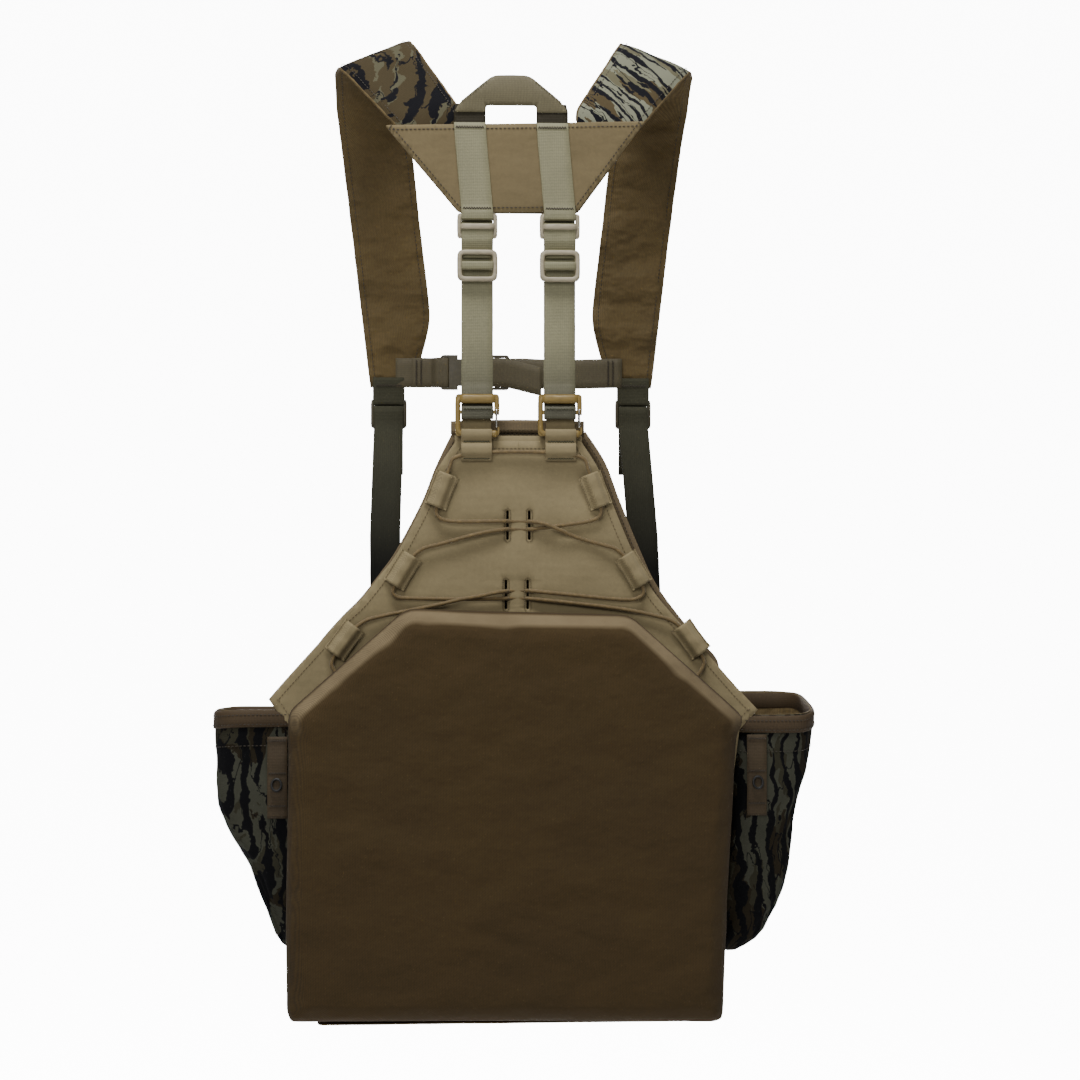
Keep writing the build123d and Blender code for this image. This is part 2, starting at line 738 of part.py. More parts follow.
with BuildPart() as sternum_left:
    add(
        flat_ribbon(
            [
                (-96, sternum_webbing_y - 0.2),
                (-68, sternum_webbing_y - 0.2),
                (-64, sternum_y + female_reach),
                (female_left + 3.2 + 1.0, sternum_y + female_reach),
                (female_left + 3.2 + 1.0, sternum_y - female_reach),
                (-65, sternum_y - female_reach),
                (-69, sternum_webbing_y - 2.2),
                (-84, sternum_webbing_y - 2.2),
            ],
            0.9,
            webbing_thick,
            webbing_width,
            sternum_z,
        )
    )
sternum_left.part.label = "sternum_webbing_left"
export_step(sternum_left.part, "parts/sternum_webbing_left.step")

with BuildPart() as sternum_right:
    with BuildSketch(back_plane(sternum_webbing_y + 0.7)):
        with Locations((43, sternum_z)):
            Rectangle(106, webbing_width)
    extrude(amount=webbing_thick)
sternum_right.part.label = "sternum_webbing_right"
export_step(sternum_right.part, "parts/sternum_webbing_right.step")

sternum_tail_outline = [
    (-18.6, -214.5),
    (-18.6, -189.5),
    (-6, -189.5),
    (24, -196.5),
    (27, -221.5),
    (-6, -214.5),
]
with BuildPart() as sternum_tail:
    with BuildSketch(back_plane(sternum_y - male_thick / 2 - 0.05)):
        with BuildLine():
            Polyline(*sternum_tail_outline, close=True)
        make_face()
    extrude(amount=webbing_thick)
sternum_tail.part.label = "sternum_tail"
export_step(sternum_tail.part, "parts/sternum_tail.step")


# ---- hip pockets ----
def pocket_solid(grow, bottom_lift):
    """The pocket's outer form, or its inner space with a negative grow."""
    stations = [
        (-460, pocket_inner_x, pocket_outer_x, pocket_near, pocket_far),
        (-540, pocket_inner_x, pocket_outer_x, pocket_near, pocket_far),
        (-606, pocket_inner_x, pocket_outer_x - 24, pocket_near + 1, pocket_far - 12),
        (-650, pocket_inner_x, pocket_outer_x - 42, pocket_near + 2, pocket_far - 32),
        (-680 + bottom_lift, pocket_inner_x, pocket_outer_x - 57, pocket_near + 4, pocket_far - 56),
    ]
    with BuildPart() as form:
        for z, x_low, x_high, y_low, y_high in stations:
            with BuildSketch(Plane.XY.offset(z)):
                with Locations(((x_low + x_high) / 2, (y_low + y_high) / 2)):
                    corner = min(x_high - x_low, y_high - y_low) * 0.34
                    RectangleRounded(x_high - x_low + 2 * grow, y_high - y_low + 2 * grow, corner + grow)
        loft(ruled=True)
    return form.part


rim = Plane(origin=(0, pocket_near, -488), z_dir=Vector(0, -0.11, 1))
with BuildPart() as pocket:
    add(pocket_solid(0, 0))
    add(pocket_solid(-pocket_wall, 2.0), mode=Mode.SUBTRACT)
    split(bisect_by=rim, keep=Keep.BOTTOM)
with BuildPart() as pocket_band:
    with BuildSketch(Plane.XY.offset(-505)):
        with Locations(((pocket_inner_x + pocket_outer_x) / 2, (pocket_near + pocket_far) / 2)):
            x_size = pocket_outer_x - pocket_inner_x
            y_size = pocket_far - pocket_near
            RectangleRounded(x_size + 2.6, y_size + 2.6, 0.34 * x_size + 1.3)
            RectangleRounded(x_size + 0.04, y_size + 0.04, 0.34 * x_size + 0.02, mode=Mode.SUBTRACT)
    extrude(amount=40)
    split(bisect_by=rim, keep=Keep.BOTTOM)
    split(bisect_by=Plane(origin=(0, pocket_near, -501), z_dir=rim.z_dir), keep=Keep.TOP)
    # The band's inner corner is left open, where the pocket meets the laced panel.
    with BuildSketch(Plane.XY.offset(-520)):
        with Locations((pocket_inner_x + 6, pocket_near)):
            Rectangle(44, 30)
    extrude(amount=60, mode=Mode.SUBTRACT)

for name, side in SIDES:
    with BuildPart() as shell:
        if side > 0:
            add(pocket.part)
        else:
            mirror(pocket.part, about=Plane.YZ)
    shell.part.label = f"hip_pocket_{name}"
    export_step(shell.part, f"parts/hip_pocket_{name}.step")
    with BuildPart() as band:
        if side > 0:
            add(pocket_band.part)
        else:
            mirror(pocket_band.part, about=Plane.YZ)
    band.part.label = f"pocket_binding_{name}"
    export_step(band.part, f"parts/pocket_binding_{name}.step")

with BuildPart() as pocket_tabs:
    with BuildSketch(back_plane(pocket_near - 0.1)):
        with Locations((-193, -536), (193, -536)):
            Rectangle(17, 64)
    extrude(amount=webbing_thick)
pocket_tabs.part.label = "pocket_tabs"
export_step(pocket_tabs.part, "parts/pocket_tabs.step")


# ---- fold-down seat ----
def seat_outline(inset):
    """The seat seen from behind: a wide trapezoid with its upper corners cut off."""
    right = [
        (seat_top_half - inset * 0.6, seat_top_z - inset),
        (seat_shoulder_half - inset, seat_shoulder_z - inset * 0.4),
        (seat_bottom_half - inset, seat_bottom_z + inset),
    ]
    return mirrored(right)


def seat_block(inset, corner):
    with BuildPart() as block:
        add(plate(seat_outline(inset), seat_near + inset, seat_far - inset))
        fillet(block.edges().filter_by(Axis.Y), radius=corner)
    return block.part


magnet_places = [(-70, -422), (70, -422)]
magnet_radius = 9.0
magnet_thick = 2.0
with BuildPart() as seat_cover:
    add(seat_block(0, 9))
    fillet(seat_cover.faces().sort_by(Axis.Y)[0].outer_wire().edges(), radius=7)
    add(seat_block(cover_thick, 7), mode=Mode.SUBTRACT)
seat_cover.part.label = "seat_cover"

with BuildPart() as seat_foam:
    add(seat_block(cover_thick, 7))
    fillet(seat_foam.faces().sort_by(Axis.Y)[0].outer_wire().edges(), radius=7)
    with BuildSketch(back_plane(seat_far - cover_thick)):
        with Locations(*magnet_places):
            Circle(magnet_radius + 0.1)
    extrude(amount=magnet_thick + 0.1, mode=Mode.SUBTRACT)
seat_foam.part.label = "seat_foam"

with BuildPart() as seat_magnets:
    with BuildSketch(back_plane(seat_far - cover_thick)):
        with Locations(*magnet_places):
            Circle(magnet_radius)
    extrude(amount=magnet_thick)
seat_magnets.part.label = "seat_magnets"

with BuildPart() as panel_magnets:
    with BuildSketch(back_plane(fabric_thick + magnet_thick)):
        with Locations(*magnet_places):
            Circle(magnet_radius)
    extrude(amount=magnet_thick)
panel_magnets.part.label = "panel_magnets"

with BuildPart() as seat_hem:
    with BuildSketch(back_plane(-0.1)):
        with Locations((0, -724)):
            Rectangle(2 * (seat_bottom_half - 8), 11)
    extrude(amount=2.2)
seat_hem.part.label = "seat_hem"

for piece in (seat_cover, seat_foam, seat_magnets, panel_magnets, seat_hem):
    export_step(piece.part, f"parts/{piece.part.label}.step")
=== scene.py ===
import math
import random

import bmesh
import bpy
import numpy as np
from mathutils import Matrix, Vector, noise


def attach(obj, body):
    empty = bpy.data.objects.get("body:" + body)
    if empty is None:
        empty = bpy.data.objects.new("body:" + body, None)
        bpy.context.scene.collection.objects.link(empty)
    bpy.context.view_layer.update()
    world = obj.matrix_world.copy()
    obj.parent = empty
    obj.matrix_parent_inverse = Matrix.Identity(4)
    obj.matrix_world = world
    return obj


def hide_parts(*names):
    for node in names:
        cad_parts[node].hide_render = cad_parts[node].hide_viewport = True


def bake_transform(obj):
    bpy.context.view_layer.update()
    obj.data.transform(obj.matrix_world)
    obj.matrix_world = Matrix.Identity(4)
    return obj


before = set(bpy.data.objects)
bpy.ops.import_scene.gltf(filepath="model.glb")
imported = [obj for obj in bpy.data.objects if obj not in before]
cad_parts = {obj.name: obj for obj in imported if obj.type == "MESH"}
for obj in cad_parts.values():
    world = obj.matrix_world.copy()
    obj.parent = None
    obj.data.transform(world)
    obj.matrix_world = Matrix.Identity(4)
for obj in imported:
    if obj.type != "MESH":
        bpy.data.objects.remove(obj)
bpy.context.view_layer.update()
MM = 0.001
SIDES = (("left", -1), ("right", 1))


# ---- the camera, level with the vest's middle and a little to its left ----
AZIMUTH = math.radians(-3)
DISTANCE = 1.75
target = Vector((0.0172, 0, -0.3464))
camera_data = bpy.data.cameras.new("camera")
camera = bpy.data.objects.new("camera", camera_data)
bpy.context.scene.collection.objects.link(camera)
camera.location = target + DISTANCE * Vector((math.sin(AZIMUTH), -math.cos(AZIMUTH), 0))
camera.rotation_euler = (math.pi / 2, 0, AZIMUTH)
camera_data.sensor_width = 36
camera_data.lens = 36 * DISTANCE / 0.864
bpy.context.scene.camera = camera


# ---- materials ----
class Shader:
    """A material's node tree, with short ways to add the nodes that the fabrics share."""

    def __init__(self, name, roughness, metallic=0.0, sheen=0.0, specular=0.5):
        self.material = bpy.data.materials.new(name)
        self.material.use_nodes = True
        self.nodes = self.material.node_tree.nodes
        self.links = self.material.node_tree.links
        self.surface = self.nodes["Principled BSDF"]
        self.surface.inputs["Roughness"].default_value = roughness
        self.surface.inputs["Metallic"].default_value = metallic
        self.surface.inputs["Specular IOR Level"].default_value = specular
        self.surface.inputs["Sheen Weight"].default_value = sheen
        self.surface.inputs["Sheen Roughness"].default_value = 0.5
        self.place = self.nodes.new("ShaderNodeTexCoord").outputs["Object"]

    def math(self, operation, a, b=0.0, c=0.0, clamp=False):
        node = self.nodes.new("ShaderNodeMath")
        node.operation = operation
        node.use_clamp = clamp
        for socket, value in zip(node.inputs, (a, b, c)):
            if isinstance(value, (int, float)):
                socket.default_value = value
            else:
                self.links.new(value, socket)
        return node.outputs[0]

    def moved(self, scale=(1, 1, 1), turn=(0, 0, 0), offset=(0, 0, 0)):
        node = self.nodes.new("ShaderNodeMapping")
        node.inputs["Scale"].default_value = scale
        node.inputs["Rotation"].default_value = turn
        node.inputs["Location"].default_value = offset
        self.links.new(self.place, node.inputs["Vector"])
        return node.outputs[0]

    def noise(self, scale, detail=3.0, vector=None, roughness=0.55, distortion=0.0):
        node = self.nodes.new("ShaderNodeTexNoise")
        node.inputs["Scale"].default_value = scale
        node.inputs["Detail"].default_value = detail
        node.inputs["Roughness"].default_value = roughness
        node.inputs["Distortion"].default_value = distortion
        self.links.new(self.place if vector is None else vector, node.inputs["Vector"])
        return node.outputs["Fac"]

    def axis(self, letter, vector=None):
        node = self.nodes.new("ShaderNodeSeparateXYZ")
        self.links.new(self.place if vector is None else vector, node.inputs[0])
        return node.outputs[letter]

    def wave(self, along, pitch, phase=0.0):
        """A smooth ripple from 0 to 1 that repeats every pitch metres along a value."""
        turned = self.math("MULTIPLY_ADD", along, 2 * math.pi / pitch, phase)
        return self.math("MULTIPLY_ADD", self.math("SINE", turned), 0.5, 0.5)

    def ramp(self, value, stops, constant=False):
        node = self.nodes.new("ShaderNodeValToRGB")
        node.color_ramp.interpolation = "CONSTANT" if constant else "LINEAR"
        elements = node.color_ramp.elements
        while len(elements) > 1:
            elements.remove(elements[-1])
        elements[0].position = stops[0][0]
        elements[0].color = stops[0][1]
        for position, colour in stops[1:]:
            elements.new(position).color = colour
        self.links.new(value, node.inputs[0])
        return node.outputs["Color"]

    def mix(self, share, a, b, blend="MIX"):
        node = self.nodes.new("ShaderNodeMix")
        node.data_type = "RGBA"
        node.blend_type = blend
        for socket, value in ((node.inputs[0], share), (node.inputs[6], a), (node.inputs[7], b)):
            if isinstance(value, (int, float, tuple)):
                socket.default_value = value
            else:
                self.links.new(value, socket)
        return node.outputs[2]

    def colour(self, value):
        self.links.new(value, self.surface.inputs["Base Color"])

    def rough(self, value):
        self.links.new(value, self.surface.inputs["Roughness"])

    def bump(self, height, distance, strength=1.0):
        node = self.nodes.new("ShaderNodeBump")
        node.inputs["Strength"].default_value = strength
        node.inputs["Distance"].default_value = distance
        self.links.new(height, node.inputs["Height"])
        self.links.new(node.outputs[0], self.surface.inputs["Normal"])


def srgb(r, g, b):
    """An 8-bit screen colour as the linear colour that shaders take."""
    def linear(v):
        v /= 255
        return v / 12.92 if v <= 0.04045 else ((v + 0.055) / 1.055) ** 2.4
    return (linear(r), linear(g), linear(b), 1)


def shade(colour, factor):
    return tuple(min(c * factor, 1) for c in colour[:3]) + (1,)


def woven(name, colour, pitch=0.0011, bump=0.00012, roughness=0.85, variation=0.10, twill=0.0, sheen=0.1,
          crease=0.0, worn=None):
    """Plain or twill cloth: two crossing sets of threads, dyed a little unevenly, and, given worn, a painted highlight
    along an upper edge.
    """
    shader = Shader(name, roughness, sheen=sheen)
    x, y, z = (shader.axis(letter) for letter in "XYZ")
    across = shader.math("ADD", x, y)
    warp = shader.wave(across, pitch)
    weft = shader.wave(shader.math("MULTIPLY_ADD", across, twill, z), pitch)
    slub = shader.noise(900, 2)
    cloth = shader.math("MULTIPLY", shader.math("ADD", warp, weft), 0.5)
    broad = shader.noise(14, 4)
    fine = shader.noise(420, 3)
    tone = shader.math("ADD", shader.math("MULTIPLY", broad, 0.6), shader.math("MULTIPLY", fine, 0.4))
    base = shader.ramp(tone, [(0.30, shade(colour, 1 - variation * 1.6)), (0.52, colour),
                              (0.72, shade(colour, 1 + variation * 1.5))])
    threads = shader.ramp(cloth, [(0.15, (0.70, 0.70, 0.70, 1)), (0.7, (1.08, 1.08, 1.08, 1))])
    if worn:
        # Painted highlight: the upper edge, between the face and the flat sides, is painted paler as if lit from above;
        # the worn argument carries it.
        face_y, side_y, lowest_z, pale = worn
        turned = shader.math("MULTIPLY", shader.math("SUBTRACT", y, face_y), 420, clamp=True)
        turned = shader.math("MULTIPLY", turned, shader.math("MULTIPLY", shader.math("SUBTRACT", side_y, y), 250, clamp=True))
        high = shader.math("MULTIPLY", shader.math("SUBTRACT", z, lowest_z), 45, clamp=True)
        painted_highlight = shader.math("MULTIPLY", turned, high)
        painted_highlight = shader.math("MULTIPLY", painted_highlight, shader.math("MULTIPLY_ADD", broad, 0.8, 0.15))
        base = shader.mix(painted_highlight, base, pale)
    shader.colour(shader.mix(1.0, base, threads, "MULTIPLY"))
    height = shader.math("ADD", cloth, shader.math("MULTIPLY", slub, 0.5))
    if crease:
        soft = shader.noise(26, 3, shader.moved(scale=(0.8, 0.8, 1.2)), roughness=0.45)
        height = shader.math("MULTIPLY_ADD", soft, crease, height)
    shader.bump(height, bump)
    return shader.material


def ribbed(name, colour, turn=(0, 0, 0), pitch=0.0012, shine=0.62, fade=None, sheen=0.15,
           specular=0.5):
    """Nylon webbing: cross ribs along its run and a fine herringbone, and, given fade, painted shade that darkens it
    from one height down to another.
    """
    shader = Shader(name, shine, sheen=sheen, specular=specular)
    vector = shader.moved(turn=turn)
    x, z = shader.axis("X", vector), shader.axis("Z", vector)
    y = shader.axis("Y", vector)
    ribs = shader.wave(shader.math("ADD", z, shader.math("MULTIPLY", y, 0.8)), pitch)
    cords = shader.wave(x, 0.0017)
    twist = shader.wave(shader.math("ADD", x, z), 0.0011)
    height = shader.math("ADD", shader.math("MULTIPLY", ribs, 0.55),
                         shader.math("ADD", shader.math("MULTIPLY", cords, 0.2),
                                     shader.math("MULTIPLY", twist, 0.3)))
    tone = shader.math("ADD", shader.math("MULTIPLY", shader.noise(25, 4), 0.55),
                       shader.math("MULTIPLY", shader.noise(700, 2), 0.45))
    base = shader.ramp(tone, [(0.3, shade(colour, 0.84)), (0.52, colour), (0.74, shade(colour, 1.16))])
    threads = shader.ramp(height, [(0.15, (0.72, 0.72, 0.72, 1)), (0.95, (1.08, 1.08, 1.08, 1))])
    if fade:
        # Painted shade: the colour darkens from one height down to another, standing in for the shadow that falls
        # there.
        top, bottom, low = fade
        drop = shader.math("DIVIDE", shader.math("SUBTRACT", top, shader.axis("Z")), top - bottom)
        base = shader.mix(1.0, base, shader.ramp(drop, [(0, (1, 1, 1, 1)), (1, (low, low, low, 1))]), "MULTIPLY")
    shader.colour(shader.mix(1.0, base, threads, "MULTIPLY"))
    shader.bump(height, 0.0002)
    return shader.material


def moulded(name, colour, roughness=0.42):
    """Injection-moulded plastic: fine spark texture, scuffs, and a paler tone where it is worn."""
    shader = Shader(name, roughness)
    shader.surface.inputs["Specular IOR Level"].default_value = 0.45
    scuff = shader.noise(160, 5, shader.moved(scale=(1, 1, 3)))
    grain = shader.noise(2600, 2)
    shader.colour(shader.ramp(scuff, [(0.32, shade(colour, 0.86)), (0.5, colour), (0.70, shade(colour, 1.14))]))
    shader.rough(shader.ramp(shader.noise(90, 4), [(0.3, (roughness - 0.08,) * 3 + (1,)),
                                                   (0.7, (roughness + 0.14,) * 3 + (1,))]))
    shader.bump(grain, 0.00006)
    return shader.material


def bark_camo(name, lean, brown_level, painted_shade_factor, gaps):
    """A generic bark-like print: pale and brown ground with long dark streaks along the grain, with every colour
    darkened by one factor per copy as painted shade.
    """
    shader = Shader(name, 0.92, specular=0.2)
    light, drab = shade(srgb(140, 141, 120), painted_shade_factor), shade(srgb(112, 108, 84), painted_shade_factor)
    brown, dark = shade(srgb(88, 76, 52), painted_shade_factor), shade(srgb(17, 17, 24), painted_shade_factor)
    turned = shader.moved(turn=(0, lean, 0))
    x, y, z = (shader.axis(letter, turned) for letter in "XYZ")
    around = shader.math("MULTIPLY_ADD", y, 0.8, x)
    sway = shader.math("SUBTRACT", shader.noise(24, 2, shader.moved(offset=(0.3, 0.7, 0.2))), 0.5)
    jag = shader.math("SUBTRACT", shader.noise(170, 3, shader.moved(offset=(2.3, 0.7, 5.2))), 0.5)
    across = shader.math("MULTIPLY_ADD", sway, 0.016, around)
    across = shader.math("MULTIPLY_ADD", jag, 0.007, across)
    along = shader.math("MULTIPLY_ADD", jag, 0.016, z)

    def grain(squeeze, offset):
        """The same place with its run along the grain squeezed, so that a noise over it makes streaks."""
        joiner = shader.nodes.new("ShaderNodeCombineXYZ")
        shader.links.new(across, joiner.inputs[0])
        shader.links.new(shader.math("MULTIPLY", along, squeeze), joiner.inputs[2])
        joiner.inputs[1].default_value = offset
        return joiner.outputs[0]

    patches = shader.noise(15, 2, grain(0.6, 0.31))
    base = shader.ramp(patches, [(0, brown), (brown_level, light)], True)
    worn = shader.noise(85, 2, grain(0.3, 0.77))
    base = shader.mix(shader.math("GREATER_THAN", worn, 0.60), base, drab)
    flecks = shader.noise(120, 2, grain(0.3, 0.13))
    base = shader.mix(shader.math("GREATER_THAN", flecks, 0.67), base, brown)
    drift = shader.math("MULTIPLY", shader.noise(34, 2, grain(0.5, 0.52)), 11.0)
    turns = shader.math("MULTIPLY_ADD", across, 2 * math.pi / 0.0135, drift)
    gate = shader.math("MULTIPLY_ADD", shader.noise(75, 2, grain(0.35, 0.22)), -5.0, gaps)
    base = shader.mix(shader.math("GREATER_THAN", shader.math("SINE", turns), gate), base, dark)
    veins = shader.math("ABSOLUTE", shader.math("SUBTRACT", shader.noise(95, 1, grain(0.3, 0.91)), 0.5))
    base = shader.mix(shader.math("LESS_THAN", veins, 0.014), base, dark)
    twill = shader.wave(shader.math("MULTIPLY_ADD", z, 0.8, shader.math("ADD", x, y)), 0.0012)
    height = shader.math("ADD", twill, shader.math("MULTIPLY", shader.noise(800, 2), 0.6))
    fade = shader.ramp(shader.math("MULTIPLY", shader.math("ADD", height, shader.noise(30, 3)), 0.4),
                       [(0.2, (0.78, 0.78, 0.78, 1)), (0.9, (1.08, 1.08, 1.08, 1))])
    shader.colour(shader.mix(1.0, base, fade, "MULTIPLY"))
    shader.bump(height, 0.00012)
    return shader.material


def knitted_mesh(name, colour):
    """Open spacer mesh: rows of small holes in a knitted face, painted dark as painted shade inside the openings."""
    shader = Shader(name, 0.8, sheen=0.15)
    pitch = 0.0034
    x, z = shader.axis("X"), shader.axis("Z")
    y = shader.axis("Y")
    along = shader.math("ADD", x, y)
    first = shader.wave(shader.math("ADD", along, z), pitch)
    second = shader.wave(shader.math("SUBTRACT", along, z), pitch)
    holes = shader.math("MULTIPLY", first, second)
    # Painted shade: the holes' colour falls nearly to black, for the darkness seen through them.
    tone = shader.ramp(holes, [(0.0, shade(colour, 1.1)), (0.45, colour), (0.62, shade(colour, 0.16))])
    shader.colour(tone)
    shader.bump(shader.math("MULTIPLY", holes, -1.0), 0.0005)
    return shader.material


def braided(name, colour):
    """Elastic cord in a braided jacket."""
    shader = Shader(name, 0.6, sheen=0.2)
    x, y, z = (shader.axis(letter) for letter in "XYZ")
    one = shader.wave(shader.math("ADD", shader.math("ADD", x, y), z), 0.0009)
    two = shader.wave(shader.math("SUBTRACT", shader.math("SUBTRACT", x, y), z), 0.0009)
    height = shader.math("MAXIMUM", one, two)
    tone = shader.ramp(shader.noise(300, 3), [(0.35, shade(colour, 0.78)), (0.6, colour),
                                             (0.7, shade(colour, 1.25))])
    shade_lines = shader.ramp(height, [(0.3, (0.74, 0.74, 0.74, 1)), (0.9, (1.06, 1.06, 1.06, 1))])
    shader.colour(shader.mix(1.0, tone, shade_lines, "MULTIPLY"))
    shader.bump(height, 0.00012)
    return shader.material


def metal(name, colour, roughness):
    shader = Shader(name, roughness, metallic=1.0)
    streak = shader.noise(500, 3, shader.moved(scale=(1, 1, 0.2)))
    shader.colour(shader.ramp(streak, [(0.3, shade(colour, 0.85)), (0.7, shade(colour, 1.1))]))
    shader.bump(streak, 0.00002)
    return shader.material


TAN = srgb(138, 124, 90)
M = {
    "tan_yoke": woven("tan_yoke_nylon", srgb(111, 97, 65), pitch=0.0009, bump=0.00008, variation=0.07, crease=40, sheen=0.04),
    "tan": woven("tan_coated_nylon", TAN, pitch=0.0009, bump=0.00008, variation=0.07, crease=34, sheen=0.04),
    "twill": woven("brown_brushed_twill", srgb(91, 75, 41), pitch=0.0013, twill=0.7, variation=0.15, crease=150, sheen=0.0),
    # The seat's worn argument is a painted highlight on its upper bevel, standing in for the light from above.
    "seat": woven("seat_face_nylon", srgb(62, 46, 14), pitch=0.0012, variation=0.09, roughness=0.95, twill=0.5,
                  sheen=0.0, crease=48, worn=(-0.0398, -0.027, -0.500, srgb(150, 133, 101))),
    # The three copies of the print differ by a painted-shade factor: the left strap is darkened, and the pockets most
    # of all, as if in shadow.
    "camo_left": bark_camo("bark_print_twill_left", math.radians(-36), 0.53, 0.55, 2.85),
    "camo_right": bark_camo("bark_print_twill_right", math.radians(36), 0.44, 0.80, 3.0),
    "camo_pocket": bark_camo("bark_print_twill_upright", math.radians(4), 0.47, 0.20, 2.85),
    "mesh": knitted_mesh("brown_knitted_mesh", srgb(78, 67, 45)),
    "binding": ribbed("binding_tape", srgb(70, 54, 30), turn=(0, math.pi / 2, 0), shine=0.75, sheen=0.0),
    "mesh_tape": ribbed("mesh_edge_tape", srgb(110, 94, 67), turn=(0, math.pi / 2, 0), shine=0.75, sheen=0.0),
    "binding_up": ribbed("binding_tape_upright", srgb(66, 52, 29), shine=0.75, sheen=0.0),
    # Painted shade: the legs' webbing is a darker copy of the grip's, for the shadow under the grip.
    "handle": ribbed("handle_leg_webbing_painted_shade", srgb(46, 41, 27), sheen=0.0, specular=0.2),
    "handle_flat": ribbed("handle_webbing_level", srgb(99, 91, 62), turn=(0, math.pi / 2, 0)),
    # Painted shade: the fade darkens the back straps' lower ends and the loops round the hooks, as if in shadow.
    "grey_green": ribbed("grey_green_webbing", srgb(134, 130, 99), fade=(-0.185, -0.242, 0.3), sheen=0.05),
    "grey_green_flat": ribbed("grey_green_webbing_level", srgb(134, 130, 104), turn=(0, math.pi / 2, 0)),
    # Painted shade: the fade darkens the side webbings almost to black towards the bottom, as if in shadow.
    "brown": ribbed("brown_webbing_painted_shade", srgb(72, 71, 57), fade=(-0.235, -0.37, 0.05), shine=0.8, sheen=0.0, specular=0.12),
    "brown_flat": ribbed("brown_webbing_level", srgb(88, 80, 56), turn=(0, math.pi / 2, 0), sheen=0.05),
    "buckle": moulded("buckle_plastic", srgb(158, 148, 124)),
    "dark_buckle": moulded("olive_buckle_plastic", srgb(72, 66, 48)),
    "hook": moulded("hook_plastic", srgb(127, 105, 53)),
    "steel": metal("gate_wire_steel", srgb(205, 202, 194), 0.22),
    "magnet": metal("magnet_plating", srgb(170, 170, 172), 0.3),
    "cord": braided("braided_cord", srgb(112, 92, 52)),
    "thread": woven("sewing_thread", srgb(104, 90, 58), pitch=0.0006, variation=0.05, roughness=0.6),
    "thread_dark": woven("dark_sewing_thread", srgb(52, 43, 27), pitch=0.0006, variation=0.05, roughness=0.6),
    "thread_olive": woven("olive_bartack_thread", srgb(70, 70, 44), pitch=0.0006, variation=0.05, roughness=0.6),
    "ring": moulded("ring_plastic", srgb(24, 23, 21), 0.5),
}


# ---- mesh helpers; all lengths given in millimetres ----
def made(name, verts, faces, material, body, slot, smooth=True):
    mesh = bpy.data.meshes.new(name)
    mesh.from_pydata([tuple(c * MM for c in v) for v in verts], [], faces)
    mesh.materials.append(M[material])
    mesh.update()
    work = bmesh.new()
    work.from_mesh(mesh)
    bmesh.ops.remove_doubles(work, verts=work.verts, dist=1e-6)
    bmesh.ops.recalc_face_normals(work, faces=work.faces)
    work.to_mesh(mesh)
    work.free()
    if smooth:
        mesh.shade_smooth()
    piece = bpy.data.objects.new(name, mesh)
    bpy.context.scene.collection.objects.link(piece)
    if body:
        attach(piece, body)
    return piece


def joined(parts):
    """One list of vertices and one of faces, from several."""
    verts, faces = [], []
    for some_verts, some_faces in parts:
        start = len(verts)
        verts += [tuple(v) for v in some_verts]
        faces += [tuple(i + start for i in face) for face in some_faces]
    return verts, faces


def subdivided(piece, levels=1):
    modifier = piece.modifiers.new("smooth", "SUBSURF")
    modifier.levels = modifier.render_levels = levels
    baked(piece)
    return piece


def baked(piece):
    """Applies the piece's modifiers."""
    bpy.context.view_layer.update()
    ready = piece.evaluated_get(bpy.context.evaluated_depsgraph_get())
    mesh = bpy.data.meshes.new_from_object(ready)
    materials = list(piece.data.materials)
    piece.modifiers.clear()
    piece.data = mesh
    mesh.materials.clear()
    for material in materials:
        mesh.materials.append(material)
    mesh.shade_smooth()


def loft(rings, closed_ring=True, caps=True):
    """Quads between rings of points, with the two end rings filled by fans round their middles."""
    count = len(rings[0])
    verts = [tuple(p) for ring in rings for p in ring]
    faces = []
    span = count if closed_ring else count - 1
    for i in range(len(rings) - 1):
        for j in range(span):
            k = (j + 1) % count
            faces.append((i * count + j, i * count + k, (i + 1) * count + k, (i + 1) * count + j))
    if caps:
        for i in (0, len(rings) - 1):
            centre = np.mean(np.array(rings[i], float), axis=0)
            verts.append(tuple(centre))
            middle = len(verts) - 1
            for j in range(count):
                faces.append((i * count + j, i * count + (j + 1) % count, middle))
    return verts, faces


def rounded(points, radius, steps=5):
    """A polyline with its corners turned into short smooth bends."""
    points = [np.array(p, float) for p in points]
    result = [points[0]]
    for before, corner, after in zip(points, points[1:], points[2:]):
        a, b = before - corner, after - corner
        reach = min(radius, np.linalg.norm(a) * 0.48, np.linalg.norm(b) * 0.48)
        start = corner + a / np.linalg.norm(a) * reach
        end = corner + b / np.linalg.norm(b) * reach
        for i in range(steps + 1):
            t = i / steps
            result.append((1 - t) ** 2 * start + 2 * t * (1 - t) * corner + t * t * end)
    result.append(points[-1])
    return result


def spaced(points, step):
    """The same line with a point at least every step."""
    result = [points[0]]
    for a, b in zip(points, points[1:]):
        pieces = max(1, int(math.ceil(np.linalg.norm(b - a) / step)))
        for i in range(1, pieces + 1):
            result.append(a + (b - a) * i / pieces)
    return result


